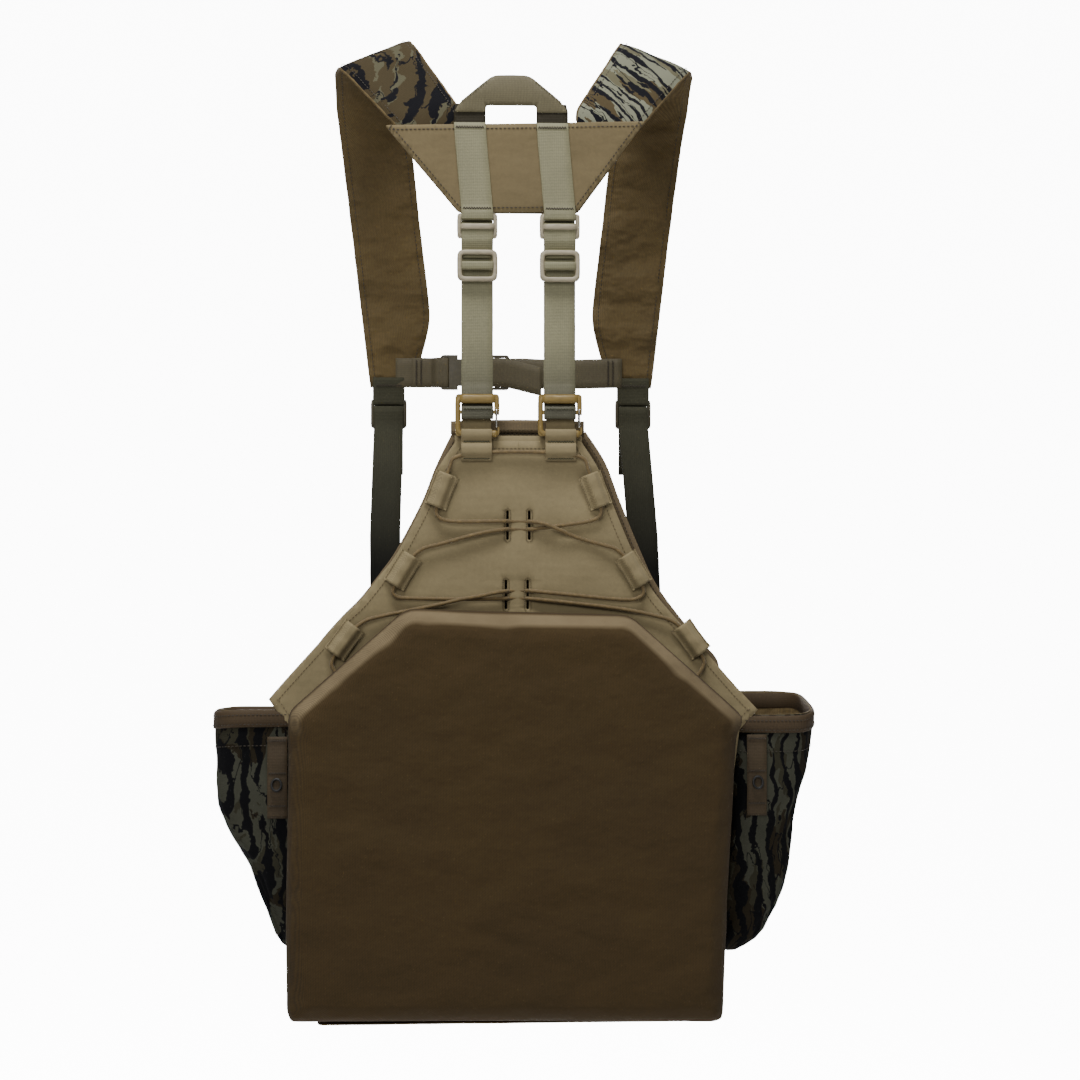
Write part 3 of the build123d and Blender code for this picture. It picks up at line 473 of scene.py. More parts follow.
def band(route, side, width, thick, bend=1.2, step=6.0, wave=0.0, seed=0, widths=None):
    """Webbing as a mesh: a route of 3-D points, the direction across it, and rounded selvedges."""
    line = spaced(rounded(route, bend), step)
    side = np.array(side, float)
    side /= np.linalg.norm(side)
    rings = []
    profile = [(-0.5, -0.22), (-0.485, -0.5), (-0.25, -0.46), (0, -0.44), (0.25, -0.46), (0.485, -0.5), (0.5, -0.22),
               (0.5, 0.22), (0.485, 0.5), (0.25, 0.46), (0, 0.44), (-0.25, 0.46), (-0.485, 0.5), (-0.5, 0.22)]
    count = len(line)
    for i, point in enumerate(line):
        run = line[min(i + 1, count - 1)] - line[max(i - 1, 0)]
        run /= np.linalg.norm(run)
        out = np.cross(run, side)
        out /= np.linalg.norm(out)
        drift = wave * noise.noise(Vector((point[0] * 0.02 + seed, point[1] * 0.03, point[2] * 0.025)))
        w = width * (1 if widths is None else widths(i / (count - 1)))
        w *= 1 + 0.012 * noise.noise(Vector((seed, 5.1, point[2] * 0.11 + point[0] * 0.07)))
        rings.append([point + side * (u * w) + out * (v * thick + drift * (1 - 2 * abs(u))) for u, v in profile])
    return loft(rings)


def upright_band(route_yz, x, **options):
    return band([(x, y, z) for y, z in route_yz], (1, 0, 0), **options)


def stitch(a, b, normal, thick=0.75, lift=0.25):
    """One sewn stitch: a small rounded bar from a to b, lying on the cloth."""
    a, b, normal = (np.array(v, float) for v in (a, b, normal))
    run = b - a
    length = np.linalg.norm(run)
    run /= length
    across = np.cross(run, normal)
    across /= np.linalg.norm(across)
    rings = []
    for share, swell in ((0.0, 0.35), (0.2, 0.9), (0.5, 1.0), (0.8, 0.9), (1.0, 0.35)):
        centre = a + run * length * share + normal * (lift * swell)
        ring = []
        for k in range(5):
            angle = 2 * math.pi * k / 5
            ring.append(centre + (across * math.cos(angle) * 0.5 + normal * math.sin(angle) * 0.42) * thick * swell)
        rings.append(ring)
    return loft(rings)


def stitch_row(points, normal, pitch=3.4, fill=0.68, **options):
    """Stitches along a line of 3-D points. normal is a vector, or a function of the point."""
    points = [np.array(p, float) for p in points]
    lengths = [np.linalg.norm(b - a) for a, b in zip(points, points[1:])]
    total = sum(lengths)
    count = max(1, int(total / pitch))

    def at(distance):
        for a, b, length in zip(points, points[1:], lengths):
            if distance <= length:
                return a + (b - a) * (distance / max(length, 1e-9))
            distance -= length
        return points[-1]

    parts = []
    for i in range(count):
        start = at(total * (i + 0.5 - fill / 2) / count)
        end = at(total * (i + 0.5 + fill / 2) / count)
        way = normal(start) if callable(normal) else normal
        parts.append(stitch(start, end, way, **options))
    return parts


def bartack(centre, width, height, across=(1, 0, 0), up=(0, 0, 1), normal=(0, -1, 0), teeth=11, thick=0.9):
    """A dense zigzag of thread across a webbing."""
    centre, across, up = (np.array(v, float) for v in (centre, across, up))
    parts = []
    for i in range(teeth):
        left = -0.5 + i / teeth
        right = left + 1 / teeth
        low, high = (-0.5, 0.5) if i % 2 == 0 else (0.5, -0.5)
        a = centre + across * width * left + up * height * low
        b = centre + across * width * right + up * height * high
        parts.append(stitch(a, b, normal, thick=thick, lift=0.3))
    return parts


def stitched(name, parts, material, body, slot):
    return made(name, *joined(parts), material, body, slot)


def cut_plate(outline, holes=(), cell=6.0):
    """A flat triangulated face in X and Z with holes, cut into cells so that it can be shaped."""
    work = bmesh.new()
    for loop in [outline, *holes]:
        ring = [work.verts.new((x, 0, z)) for x, z in loop]
        for a, b in zip(ring, ring[1:] + ring[:1]):
            work.edges.new((a, b))
    bmesh.ops.triangle_fill(work, use_beauty=True, use_dissolve=False, edges=work.edges[:])
    xs = [v.co.x for v in work.verts]
    zs = [v.co.z for v in work.verts]
    for low, high, axis in ((min(xs), max(xs), 0), (min(zs), max(zs), 2)):
        way = Vector((1, 0, 0)) if axis == 0 else Vector((0, 0, 1))
        position = math.floor(low / cell) * cell + cell
        while position < high:
            bmesh.ops.bisect_plane(work, geom=work.verts[:] + work.edges[:] + work.faces[:],
                                   plane_co=way * (position + 0.013), plane_no=way, dist=1e-4)
            position += cell
    bmesh.ops.remove_doubles(work, verts=work.verts, dist=0.02)
    work.verts.index_update()
    verts = [tuple(v.co) for v in work.verts]
    faces = [tuple(v.index for v in face.verts) for face in work.faces]
    work.free()
    return verts, faces


def edge_distance(outline, x, z):
    """How far a point is from the nearest side of an outline."""
    p = np.array((x, z), float)
    a = np.array(outline, float)
    b = np.roll(a, -1, axis=0)
    run = b - a
    t = np.clip(((p - a) * run).sum(1) / np.maximum((run * run).sum(1), 1e-9), 0, 1)
    return float(np.min(np.linalg.norm(a + run * t[:, None] - p, axis=1)))


def cloth_panel(name, outline, holes, front, thick, relief, material, body, slot, cell=6.0):
    """A sewn panel: front(x, z) gives its face's depth, and relief is how much its edges thin out."""
    verts, faces = cut_plate(outline, holes, cell)
    count = len(verts)
    loops = [np.array(loop, float) for loop in [outline, *holes]]
    face_side, back_side = [], []
    for x, _, z in verts:
        y = front(x, z)
        inset = min(edge_distance(loop, x, z) for loop in loops)
        round_off = relief * math.exp(-inset / 0.9)
        face_side.append((x, y + round_off, z))
        back_side.append((x, y + thick - round_off, z))
    edge_use = {}
    for face in faces:
        for a, b in zip(face, face[1:] + face[:1]):
            edge_use.setdefault(tuple(sorted((a, b))), []).append((a, b))
    rim = [uses[0] for uses in edge_use.values() if len(uses) == 1]
    all_faces = list(faces) + [tuple(i + count for i in reversed(face)) for face in faces]
    all_faces += [(b, a, a + count, b + count) for a, b in rim]
    return made(name, face_side + back_side, all_faces, material, body, slot)


def smooth_loop(points, step=5.0):
    """An outline with a point at least every step."""
    points = [np.array(p, float) for p in points]
    line = spaced(points + [points[0]], step)
    return [tuple(p) for p in line[:-1]]


def catmull(points, per_span=8):
    """A smooth curve through points."""
    points = [np.array(p, float) for p in points]
    ends = [2 * points[0] - points[1]] + points + [2 * points[-1] - points[-2]]
    result = []
    for p0, p1, p2, p3 in zip(ends, ends[1:], ends[2:], ends[3:]):
        for i in range(per_span):
            t = i / per_span
            result.append(0.5 * (2 * p1 + (p2 - p0) * t + (2 * p0 - 5 * p1 + 4 * p2 - p3) * t * t
                                 + (3 * p1 - p0 - 3 * p2 + p3) * t ** 3))
    result.append(points[-1])
    return result


def inset_line(outline, inset):
    """The outline moved inwards, for a row of stitching."""
    pts = np.array(outline, float)
    area = 0.5 * np.sum(pts[:, 0] * np.roll(pts[:, 1], -1) - np.roll(pts[:, 0], -1) * pts[:, 1])
    result = []
    for i in range(len(pts)):
        run = pts[(i + 1) % len(pts)] - pts[i - 1]
        run /= max(np.linalg.norm(run), 1e-9)
        inward = np.array((-run[1], run[0])) * (1 if area > 0 else -1)
        result.append(pts[i] + inward * inset)
    return result


def flat_sheet_size(piece, width, height):
    """The cloth's flat width and height, as a dict."""
    return dict(flat=(width, height))


# ---- yoke and haul handle ----
# The two webbings lean a little to the left towards the top, as the vest hangs.
LEAN = 6.0
yoke_corners = [(-107, -15.5), (102, -10.5), (47.5, -83.5), (-48, -85.2)]
yoke_line = smooth_loop(rounded([(-2.5, -13.2)] + [yoke_corners[1], yoke_corners[2], yoke_corners[3],
                                                  yoke_corners[0]] + [(-2.5, -13.2)], 3)[:-1])


def yoke_front(x, z):
    fold = 0.5 * noise.noise(Vector((x * 0.018, 3.3, z * 0.03)))
    return -0.1 + fold - 0.5 * math.exp(-((abs(x) - 70) / 16) ** 2)


yoke = cloth_panel("yoke_panel_cloth", yoke_line, [], yoke_front, 1.8, 0.7, "tan_yoke", "vest", "tan_fabric")
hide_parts("yoke_panel")


yoke_seam = [(x, yoke_front(x, z) - 0.1, z) for x, z in inset_line(yoke_line, 3.8)]
stitched("yoke_panel_stitching", stitch_row(yoke_seam + yoke_seam[:1], (0, -1, 0)), "thread_dark", "vest", "tan_fabric")


def lean(z):
    """How far the yoke webbings stand to the left at a height."""
    return -LEAN * min(max((z + 84) / 67, 0), 1)


def flat_piece(name, outline, front, thick, material, slot, cell=4.0):
    return cloth_panel(name, smooth_loop(outline, 3.0), [], front, thick, 0.5, material, "vest", slot, cell)


for name, side in SIDES:
    x = side * 33.0 - LEAN
    inner, outer = x - side * 12.7, x + side * 12.7
    route = [(0, -0.7, -17.5), (0, -1.1, -6), (0, -1.0, 1)]
    outline = [(inner, -19), (outer, -19), (outer, -4), (outer - side * 1.5, 2), (inner, 2)]
    # The legs take the darker copy of the handle webbing: painted shade under the grip.
    flat_piece(f"haul_handle_leg_{name}", outline,
                                  lambda px, pz: -1.0 + 0.35 * noise.noise(Vector((px * 0.05, 1, pz * 0.05))),
                                  1.2, "handle", "handle_webbing")
    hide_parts("haul_handle")


def grip_front(x, z):
    bulge = 1.1 * math.exp(-((z - 12) / 9) ** 2)
    return -2.5 - bulge + 0.4 * noise.noise(Vector((x * 0.04, 7, z * 0.06)))


half_grip = [(0, 25.0), (12.4, 24.7), (17, 22.8), (39.0, 4.6), (43.2, -0.6), (45.4, -5.0), (20.2, -5.0), (20.2, 0.4),
             (0, 0.4)]
grip_outline = [(x - LEAN, z) for x, z in half_grip] + [(-x - LEAN, z) for x, z in half_grip[-2:0:-1]]
grip_outline = rounded([*grip_outline, grip_outline[0]], 2.5)[:-1]
grip = cloth_panel("haul_handle_grip", smooth_loop(grip_outline, 3), [], grip_front, 1.4, 0.6, "handle_flat", "vest",
                   "handle_webbing", 4.0)
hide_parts("haul_handle")
grip_seams = []
for side in (-1, 1):
    start, end = (side * 19.0 - LEAN, 19.5), (side * 40.0 - LEAN, 3.4)
    line = [(start[0] + (end[0] - start[0]) * t, 0, start[1] + (end[1] - start[1]) * t) for t in np.linspace(0, 1, 9)]
    grip_seams += stitch_row([(x, grip_front(x, z) - 0.1, z) for x, _, z in line], (0, -1, 0), 2.6, thick=0.6)
stitched("haul_handle_fold_stitching", grip_seams, "thread_olive", "vest", "handle_webbing")

webbing_parts, tack_parts = [], []
for name, side in SIDES:
    x = side * 33.0
    route = [(x + lean(z), y, z) for y, z in
             ((-0.9, -13.0), (-0.9, -30), (-0.9, -52), (-0.9, -72), (-1.0, -78.4), (-2.6, -84.8), (-2.6, -90.2),
              (2.8, -90.2), (2.8, -71.5))]
    webbing_parts.append(band(route, (1, 0, 0), 25.4, 1.6, wave=0.25, seed=side))
    webbing_parts.append(band([(x - LEAN * 0.1, 4.7, -78), (x, 4.7, -88), (x, 4.7, -99.5)], (1, 0, 0), 25.0, 1.2))
    for z, tall in ((-16.8, 2.2), (-81.6, 2.0)):
        tack_parts += bartack((x + lean(z), -1.9 if z > -40 else -2.7, z), 22.5, tall, teeth=22, thick=0.75)
yoke_webbing = made("yoke_webbing_bands", *joined(webbing_parts), "grey_green", "vest", "grey_green_webbing")
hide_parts("yoke_webbing")
stitched("yoke_webbing_bartacks", tack_parts, "thread_dark", "vest", "grey_green_webbing")


# ---- back straps, tri-glides and gated hooks ----
for name, side in SIDES:
    x = side * 33.0
    strap = made(f"back_strap_{name}_band", *band(
        [(x, y, z) for y, z in ((-2.6, -99.0), (-2.6, -94.0), (2.8, -94.0), (2.7, -130), (2.9, -168), (2.6, -200),
                                (2.5, -221), (0.0, -232), (0.0, -249.2), (-6.0, -249.2), (-6.0, -240.0))],
        (1, 0, 0), 25.4, 1.5, wave=0.35, seed=side + 4), "grey_green", "vest", "grey_green_webbing")
    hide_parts(f"back_strap_{name}")
    front = made(f"adjuster_webbing_{name}_band", *band(
        [(x, y, z) for y, z in ((-2.6, -99.1), (-2.6, -107.5), (0.1, -114.5), (0.1, -121.2))],
        (1, 0, 0), 25.4, 1.5, step=1.5), "grey_green", None, "grey_green_webbing")
    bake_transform(front)
    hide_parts(f"adjuster_webbing_{name}")
    glide_z = -127.5
    wrap = made(f"glide_wrap_{name}_band", *band(
        [(x, -2.6 + y, glide_z + z) for y, z in ((2.6, 3.3), (2.6, -2.7), (-2.6, -2.7), (-2.6, 2.7), (1.4, 2.9),
                                                (1.5, 1.2))],
        (1, 0, 0), 25.2, 1.4, bend=1.6, step=1.5), "grey_green", f"glide_{name}", "grey_green_webbing")
    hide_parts(f"glide_wrap_{name}")
stitched("back_strap_bartacks", [s for side in (-1, 1) for s in
                                 bartack((side * 33.0, -6.9, -242.0), 22, 1.8, teeth=20, thick=0.7)],
         "thread_olive", "vest", "grey_green_webbing")

anchor_route = [(-1.0, -282.5), (-1.0, -266.2), (0.0, -262.8), (0.0, -258.5), (-6.0, -258.5), (-6.1, -263.5),
                (-3.1, -267.0), (-3.1, -268.8), (-6.5, -271.6), (-6.5, -277.4), (-2.9, -280.2), (-2.7, -283.0)]
# Each tab has a backing ply that rises behind the hook.
backing = [(1.5, -266.0), (1.5, -258.0), (1.5, -248.4)]
tabs = made("anchor_tab_bands", *joined([band([(side * 33.6, y, z) for y, z in route], (1, 0, 0), wide, thick,
                                              bend=2.0, step=3, seed=side) for side in (-1, 1)
                                         for route, wide, thick in ((anchor_route, 24.6, 1.5), (backing, 23.4, 1.1))]),
            "tan", "vest", "grey_green_webbing")
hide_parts("anchor_tabs")
stitched("anchor_tab_bartacks", [s for side in (-1, 1) for s in
                                 bartack((side * 33.6, -3.9, -268.0), 21, 1.8, teeth=20, thick=0.8)
                                 + bartack((side * 33.6, -3.7, -281.6), 21, 1.2, teeth=20, thick=0.7)],
         "thread_olive", "vest", "grey_green_webbing")


# ---- rounded mouldings over the hooks and sliders ----
def rod(points, width, depth, closed=False):
    """A moulded bar with a soft oval section, along points of one upright plane."""
    points = [np.array(p, float) for p in points]
    rings, count = [], len(points)
    for i, point in enumerate(points):
        before = points[i - 1] if closed or i else point
        after = points[(i + 1) % count] if closed or i < count - 1 else point
        run = after - before
        run /= np.linalg.norm(run)
        out = np.array((-run[2], 0, run[0]))
        tip = 1 if closed or 0 < i < count - 1 else 0.8
        ring = []
        for angle in np.linspace(0, 2 * math.pi, 15)[:-1]:
            c, s = math.cos(angle), math.sin(angle)
            ring.append(point + out * math.copysign(abs(c) ** 0.7, c) * width / 2 * tip
                        + np.array((0, 1, 0)) * math.copysign(abs(s) ** 0.7, s) * depth / 2 * tip)
        rings.append(ring)
    return loft(rings + rings[:1], caps=False) if closed else loft(rings)


def frame_path(x, y, z, width, height, corner):
    """A closed rounded rectangle round a middle point."""
    a, b = width / 2, height / 2
    corners = [(x, y, z + b), (x + a, y, z + b), (x + a, y, z - b), (x - a, y, z - b), (x - a, y, z + b), (x, y, z + b)]
    return spaced(rounded(corners, corner, 6), 3)[:-1]


for name, side in SIDES:
    x = side * 33.0
    hook_frame = [(x + 15.6, -3.2, -246.5), (x + 15.6, -3.2, -233.2), (x - 15.6, -3.2, -233.2), (x - 15.6, -3.2, -261.6),
                  (x + 15.0, -3.2, -261.6)]
    hook_bars = [rod(spaced(rounded(hook_frame, 4.5, 6), 3), 4.3, 5.4),
                 rod([(px, -3.6, -234.0) for px in np.linspace(x - 14.2, x + 14.2, 9)], 7.2, 6.6),
                 rod([(px, -3.2, -261.6) for px in np.linspace(x + 11.0, x + 16.2, 4)], 5.6, 5.6)]
    made(f"gated_hook_{name}_moulding", *joined(hook_bars), "hook", "vest", "tan_hook_plastic")
    made(f"triglide_{name}_moulding", *rod(frame_path(x, -2.6, -127.5, 28.4, 21.4, 5), 4.0, 4.6, True), "buckle",
         f"glide_{name}", "moulded_buckle")
    made(f"upper_buckle_{name}_moulding", *joined([
        rod(frame_path(x, 0, -95.6, 28.8, 16.8, 4), 3.6, 4.4, True),
        rod([(px, -4.0, -96.4) for px in np.linspace(x - 13.5, x + 13.5, 7)], 4.4, 2.4)]),
         "buckle", "vest", "moulded_buckle")
    lock_x = side * 106.0
    lock_rails = [rod([(lock_x + end * 13.9, 149.75, z) for z in np.linspace(-226.4, -248.6, 9)], 3.4, 5.0)
                  for end in (-1, 1)]
    lock_rails.append(rod([(px, 150.6, -248.0) for px in np.linspace(lock_x - 13.5, lock_x + 13.5, 9)], 4.2, 5.0))
    made(f"ladder_lock_{name}_moulding", *joined(lock_rails), "dark_buckle", f"lock_{name}", "moulded_buckle")


# ---- laced back panel ----
panel_left = [(-50, -267), (-65.5, -291), (-76, -317), (-96.5, -356), (-111, -375), (-127, -395), (-142, -409),
              (-158, -427), (-186, -458), (-199, -473)]
panel_right = [(50, -267), (64.5, -290), (75.5, -317), (92, -356), (107.5, -386), (130, -413), (148, -433),
               (177, -466), (193, -483)]
right_side = catmull(panel_right, 5)
left_side = catmull(panel_left, 5)
panel_line = smooth_loop([*left_side[::-1], *right_side, (178, -499), (160, -640), (156, -724), (-172, -724), (-181, -499)], 5)


def slot_outline(x, z):
    corners = [(x - 1.0, z), (x - 1.0, z + 11.8), (x + 1.0, z + 11.8), (x + 1.0, z - 11.8), (x - 1.0, z - 11.8),
               (x - 1.0, z)]
    return [tuple(p) for p in spaced(rounded(corners, 0.9, 3), 2.5)[:-1]]


slots = [slot_outline(side * 8.7 - (0 if z > -360 else 2.6) * 0.5, z) for z in (-334.5, -390.0) for side in (-1, 1)]


def panel_front(x, z):
    sag = 1.5 + 1.9 * noise.noise(Vector((x * 0.012, 2.0, z * 0.014))) + 0.6 * noise.noise(
        Vector((x * 0.035, 8.0, z * 0.03)))
    # The lacing pulls a soft dimple in at each sewn loop and at the slots.
    for cx, cz in ((61.6, -306.6), (92.4, -370.4), (138.5, -426.0), (8.7, -334.5), (8.7, -390.0)):
        sag += 0.9 * math.exp(-(((abs(x) - cx + 16) / 13) ** 2 + ((z - cz) / 17) ** 2))
    edge = math.exp(-((z + 268) / 25) ** 4)
    # The hidden magnets hold the cloth flat over themselves.
    over_magnet = math.exp(-(((abs(x) - 70) / 15) ** 2 + ((z + 422) / 15) ** 2) ** 2)
    return max(sag, 0.05) * (1 - edge) * (1 - over_magnet)


panel = cloth_panel("laced_back_panel", panel_line, slots, panel_front, 1.6, 0.6, "tan", "vest", "tan_fabric", 7.0)
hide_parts("outer_back_panel")
seams = []
for inset in (6.2,):
    line = [(x, panel_front(x, z) - 0.1, z) for x, z in inset_line(panel_line, inset)]
    seams += stitch_row(line, (0, -1, 0), 3.2, thick=0.7)
for slot_line in slots:
    ring = inset_line(slot_line, -1.5)
    line = [(x, panel_front(x, z) - 0.05, z) for x, z in ring]
    seams += stitch_row(line + line[:1], (0, -1, 0), 1.5, fill=0.8, thick=0.75)
stitched("laced_back_panel_stitching", seams, "thread", "vest", "tan_fabric")

# The sewn cord loops: a patch with a tunnel along its middle.
loop_places = [(-1, -61.6, -306.6, 21), (1, 61.6, -306.6, 21), (-1, -92.4, -370.4, 31.5), (1, 92.4, -370.4, 31.5),
               (-1, -138.5, -426, 36.5), (1, 138.5, -426, 36.5)]
loop_parts, loop_seams = [], []
for side, cx, cz, angle in loop_places:
    turn = math.radians(side * angle)
    along = np.array((math.sin(turn), 0, -math.cos(turn)))
    across = np.array((math.cos(turn), 0, math.sin(turn)))
    rows = []
    for v in np.linspace(-14, 14, 15):
        ring = []
        pinch = 1 - 0.05 * math.cos(v / 14 * math.pi / 2)
        for u in np.linspace(-9.6, 9.6, 21):
            lift_up = 5.2 * math.exp(-(u / 5.6) ** 4) + 0.8 + 0.25 * math.sin(v * 0.5 + cx)
            point = np.array((cx, 0, cz)) + across * u * pinch + along * v
            ring.append((point[0], -lift_up * (1 if abs(v) < 13.5 else 0.97), point[2]))
        under = [(p[0], min(p[1] + 1.1, -0.05), p[2]) for p in reversed(ring)]
        rows.append(ring + under)
    loop_parts.append(loft(rows))
    for u in (-8.4, 8.4):
        line = [np.array((cx, -0.95 - 5.2 * math.exp(-(u / 5.6) ** 4), cz)) + across * u + along * v for v in (-12.5, 12.5)]
        loop_seams += stitch_row(line, (0, -1, 0), 2.2, fill=0.75, thick=0.6)
loops = made("sewn_cord_loops", *joined(loop_parts), "tan", "vest", "tan_fabric")
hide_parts("cord_loops")
stitched("cord_loop_stitching", loop_seams, "thread", "vest", "tan_fabric")

# Behind the laced panel: mesh panel, edge tapes, gusset and top webbing.
mesh_right = [(55, -259), (71, -284), (82, -313), (98, -352), (112, -382), (133, -411), (150, -430), (163, -446),
              (163, -470)]
mesh_left = [(-52, -259), (-66, -288), (-77, -316), (-97, -354), (-111, -374), (-127, -394), (-141, -408),
             (-157, -426), (-167, -440)]
right_edge, left_edge = catmull(mesh_right, 5), catmull(mesh_left, 5)
mesh_line = smooth_loop([tuple(p) for p in left_edge[::-1]] + [tuple(p) for p in right_edge]
                        + [(156, -724), (-170, -724)], 6)


def mesh_front(x, z):
    return 20.4 + 0.6 * noise.noise(Vector((x * 0.015, 4.2, z * 0.015)))


mesh_panel = cloth_panel("mesh_back_cloth", mesh_line, [], mesh_front, 1.6, 0.3, "mesh", "vest", "mesh", 9.0)
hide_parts("mesh_back_panel")
tape_parts, tape_seams = [], []
for side, edge, foot in ((-1, left_edge, (-169.5, -722)), (1, right_edge, (156, -722))):
    route = [(x - side * 0.5, 21.2, z) for x, z in [*edge, foot]]
    profile = [(0, -2.3), (-3.0, -2.1), (-6.0, -1.3), (-6.0, 1.3), (-3.0, 2.1), (0, 2.3), (0.9, 1.2), (0.9, -1.2)]
    rings = []
    for i, point in enumerate(route):
        run = np.array(route[min(i + 1, len(route) - 1)]) - np.array(route[max(i - 1, 0)])
        run /= np.linalg.norm(run)
        out = np.array((-run[2], 0, run[0]))
        out *= side if out[0] * side > 0 else -side
        out = out if out[0] * side > 0 else -out
        rings.append([np.array(point) + out * u + np.array((0, 1, 0)) * v * 0.8 for u, v in profile])
    tape_parts.append(loft(rings))
    for face in (-1, 1):
        tape_seams += stitch_row([ring[0] * 0.45 + ring[2] * 0.55 + np.array((0, -0.2, 0)) if face < 0 else
                                  ring[5] * 0.45 + ring[3] * 0.55 + np.array((0, 0.2, 0)) for ring in map(np.array, rings)],
                                 (0, face, 0), 3.4, thick=0.6)
made("mesh_panel_edge_tape", *joined(tape_parts), "mesh_tape", "vest", "brown_twill")
stitched("mesh_panel_edge_stitching", tape_seams, "thread_dark", "vest", "brown_twill")

top_band = made("panel_top_edge_band", *joined([
    band([(x, 19.6 + 0.5 * math.sin(x * 0.06), -255.6 + 1.2 * math.cos(x * 0.03)) for x in np.linspace(-54, 54, 24)],
         (0, 0, 1), 10.5, 3.0, step=4)]), "mesh_tape", "vest", "brown_twill")
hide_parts("panel_top_binding")
stitched("panel_top_edge_stitching",
         stitch_row([(x, 17.9 + 0.5 * math.sin(x * 0.06), -258.6 + 1.2 * math.cos(x * 0.03))
                     for x in np.linspace(-55, 55, 24)], (0, -1, 0), 3.2, thick=0.7), "thread", "vest", "brown_twill")
top_webbing = made("panel_top_webbing_band", *band(
    [(x, 2.7 + 0.3 * math.sin(x * 0.05), -275.6) for x in np.linspace(-51, 51, 20)], (0, 0, 1), 25.4, 1.5, step=5),
    "tan", "vest", "grey_green_webbing")
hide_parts("panel_top_webbing")

gusset_route = [(-170.4, 0, -480), (-170.4, 0, -724.6), (157, 0, -724.6), (161, 0, -660), (169.5, 0, -570), (170.4, 0, -480)]
rings = []
line = spaced(rounded(gusset_route, 8, 6), 7)
for i, point in enumerate(line):
    run = line[min(i + 1, len(line) - 1)] - line[max(i - 1, 0)]
    run /= np.linalg.norm(run)
    inward = np.array((-run[2], 0, run[0]))
    inward = inward if np.dot(inward, np.array((0, 0, -600)) - point) > 0 else -inward
    ring = []
    depths = np.linspace(1.9, 20.0, 13)
    fold = lambda d: 0.8 * math.sin((d - 1.9) / 18.1 * math.pi * 3) + 0.35 * noise.noise(Vector((i * 0.31, d * 0.2, 0)))
    ring += [point + inward * (fold(d) - 0.5) + np.array((0, d, 0)) for d in depths]
    ring += [point + inward * (fold(d) + 0.6) + np.array((0, d, 0)) for d in depths[::-1]]
    rings.append(ring)
gusset = made("game_bag_gusset_cloth", *loft(rings), "twill", "vest", "brown_twill")
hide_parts("game_bag_gusset")

# ---- lacing cord ----
lace_left = [
    (-52.0, -3.8, -276.0), (-55.6, -3.2, -291.0), (-68.2, -3.2, -323.9), (-60.5, -2.4, -331.6), (-38.0, -2.4, -331.9),
    (-10.9, -2.4, -331.2), (-7.2, 3.4, -331.4), (7.2, 3.4, -331.6), (10.9, -2.4, -331.8), (20.0, -5.9, -333.0),
    (33.0, -5.9, -338.5), (46.0, -2.4, -344.5), (66.0, -2.4, -350.0), (82.5, -3.2, -354.2), (102.1, -3.2, -386.2),
    (97.0, -2.4, -393.6), (84.0, -2.4, -394.6), (46.0, -2.4, -390.6), (10.9, -2.4, -387.2), (7.2, 3.4, -387.0),
    (-7.2, 3.4, -387.2), (-10.9, -2.4, -387.4), (-20.0, -5.9, -388.6), (-33.0, -5.9, -391.6), (-46.0, -5.9, -393.4),
    (-62.0, -5.9, -397.5), (-84.0, -2.4, -402.0), (-108.0, -2.4, -406.5), (-128.0, -3.2, -411.8),
    (-149.5, -3.2, -440.9), (-148.0, -3.2, -450.0), (-140.0, -3.2, -459.5),
]
lace_right = [
    (52.0, -3.8, -276.0), (55.6, -3.2, -291.0), (68.2, -3.2, -323.9), (61.5, -2.4, -331.0), (40.0, -2.4, -334.0),
    (10.9, -2.4, -337.8), (7.2, 3.4, -337.9), (-7.2, 3.4, -337.7), (-10.9, -2.4, -337.6), (-32.0, -2.4, -341.0),
    (-62.0, -2.4, -349.6), (-82.5, -3.2, -354.2), (-102.1, -3.2, -386.2), (-97.5, -2.4, -392.4), (-86.0, -2.4, -392.9),
    (-50.0, -2.4, -393.6), (-10.9, -2.4, -393.2), (-7.2, 3.4, -393.0), (7.2, 3.4, -393.2), (10.9, -2.4, -393.4),
    (46.0, -2.4, -397.0), (84.0, -2.4, -401.6), (108.0, -2.4, -406.5), (128.0, -3.2, -411.8), (149.5, -3.2, -440.9),
    (148.0, -3.2, -450.0), (140.0, -3.2, -459.5),
]
lace_curve = bpy.data.curves.new("lacing_cord_line", "CURVE")
lace_curve.dimensions = "3D"
lace_curve.resolution_u = 10
lace_curve.bevel_depth = 1.6 * MM
lace_curve.bevel_resolution = 4
lace_curve.use_fill_caps = True
spline = lace_curve.splines.new("NURBS")
lace_points = lace_left[::-1] + lace_right
spline.points.add(len(lace_points) - 1)
for slot_point, (x, y, z) in zip(spline.points, lace_points):
    slot_point.co = (x * MM, y * MM, z * MM, 1)
spline.order_u = 3
spline.use_endpoint_u = True
lace_curve.materials.append(M["cord"])
lace = bpy.data.objects.new("lacing_cord_line", lace_curve)
bpy.context.scene.collection.objects.link(lace)
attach(lace, "vest")
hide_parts("lacing_cord")

knot_parts = []
for side in (-1, 1):
    centre = np.array((side * 138.6, -3.2, -462.2))
    for turn, (tilt, size) in enumerate(((0.3, 2.9), (-0.5, 2.7), (1.1, 2.5))):
        rings = []
        for k in range(17):
            a = 2 * math.pi * k / 16
            ring_centre = centre + np.array((math.cos(a) * size, math.sin(a) * 1.5, math.sin(a + tilt) * 1.4 + turn - 1))
            outward = np.array((math.cos(a), math.sin(a) * 0.5, 0))
            outward /= np.linalg.norm(outward)
            rings.append([ring_centre + outward * 1.5 * math.cos(b) + np.array((0, 0, 1)) * 1.5 * math.sin(b)
                          for b in np.linspace(0, 2 * math.pi, 9)[:-1]])
        knot_parts.append(loft(rings))
knots = made("cord_end_knots", *joined(knot_parts), "cord", "vest", "elastic_cord")
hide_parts("cord_knots")


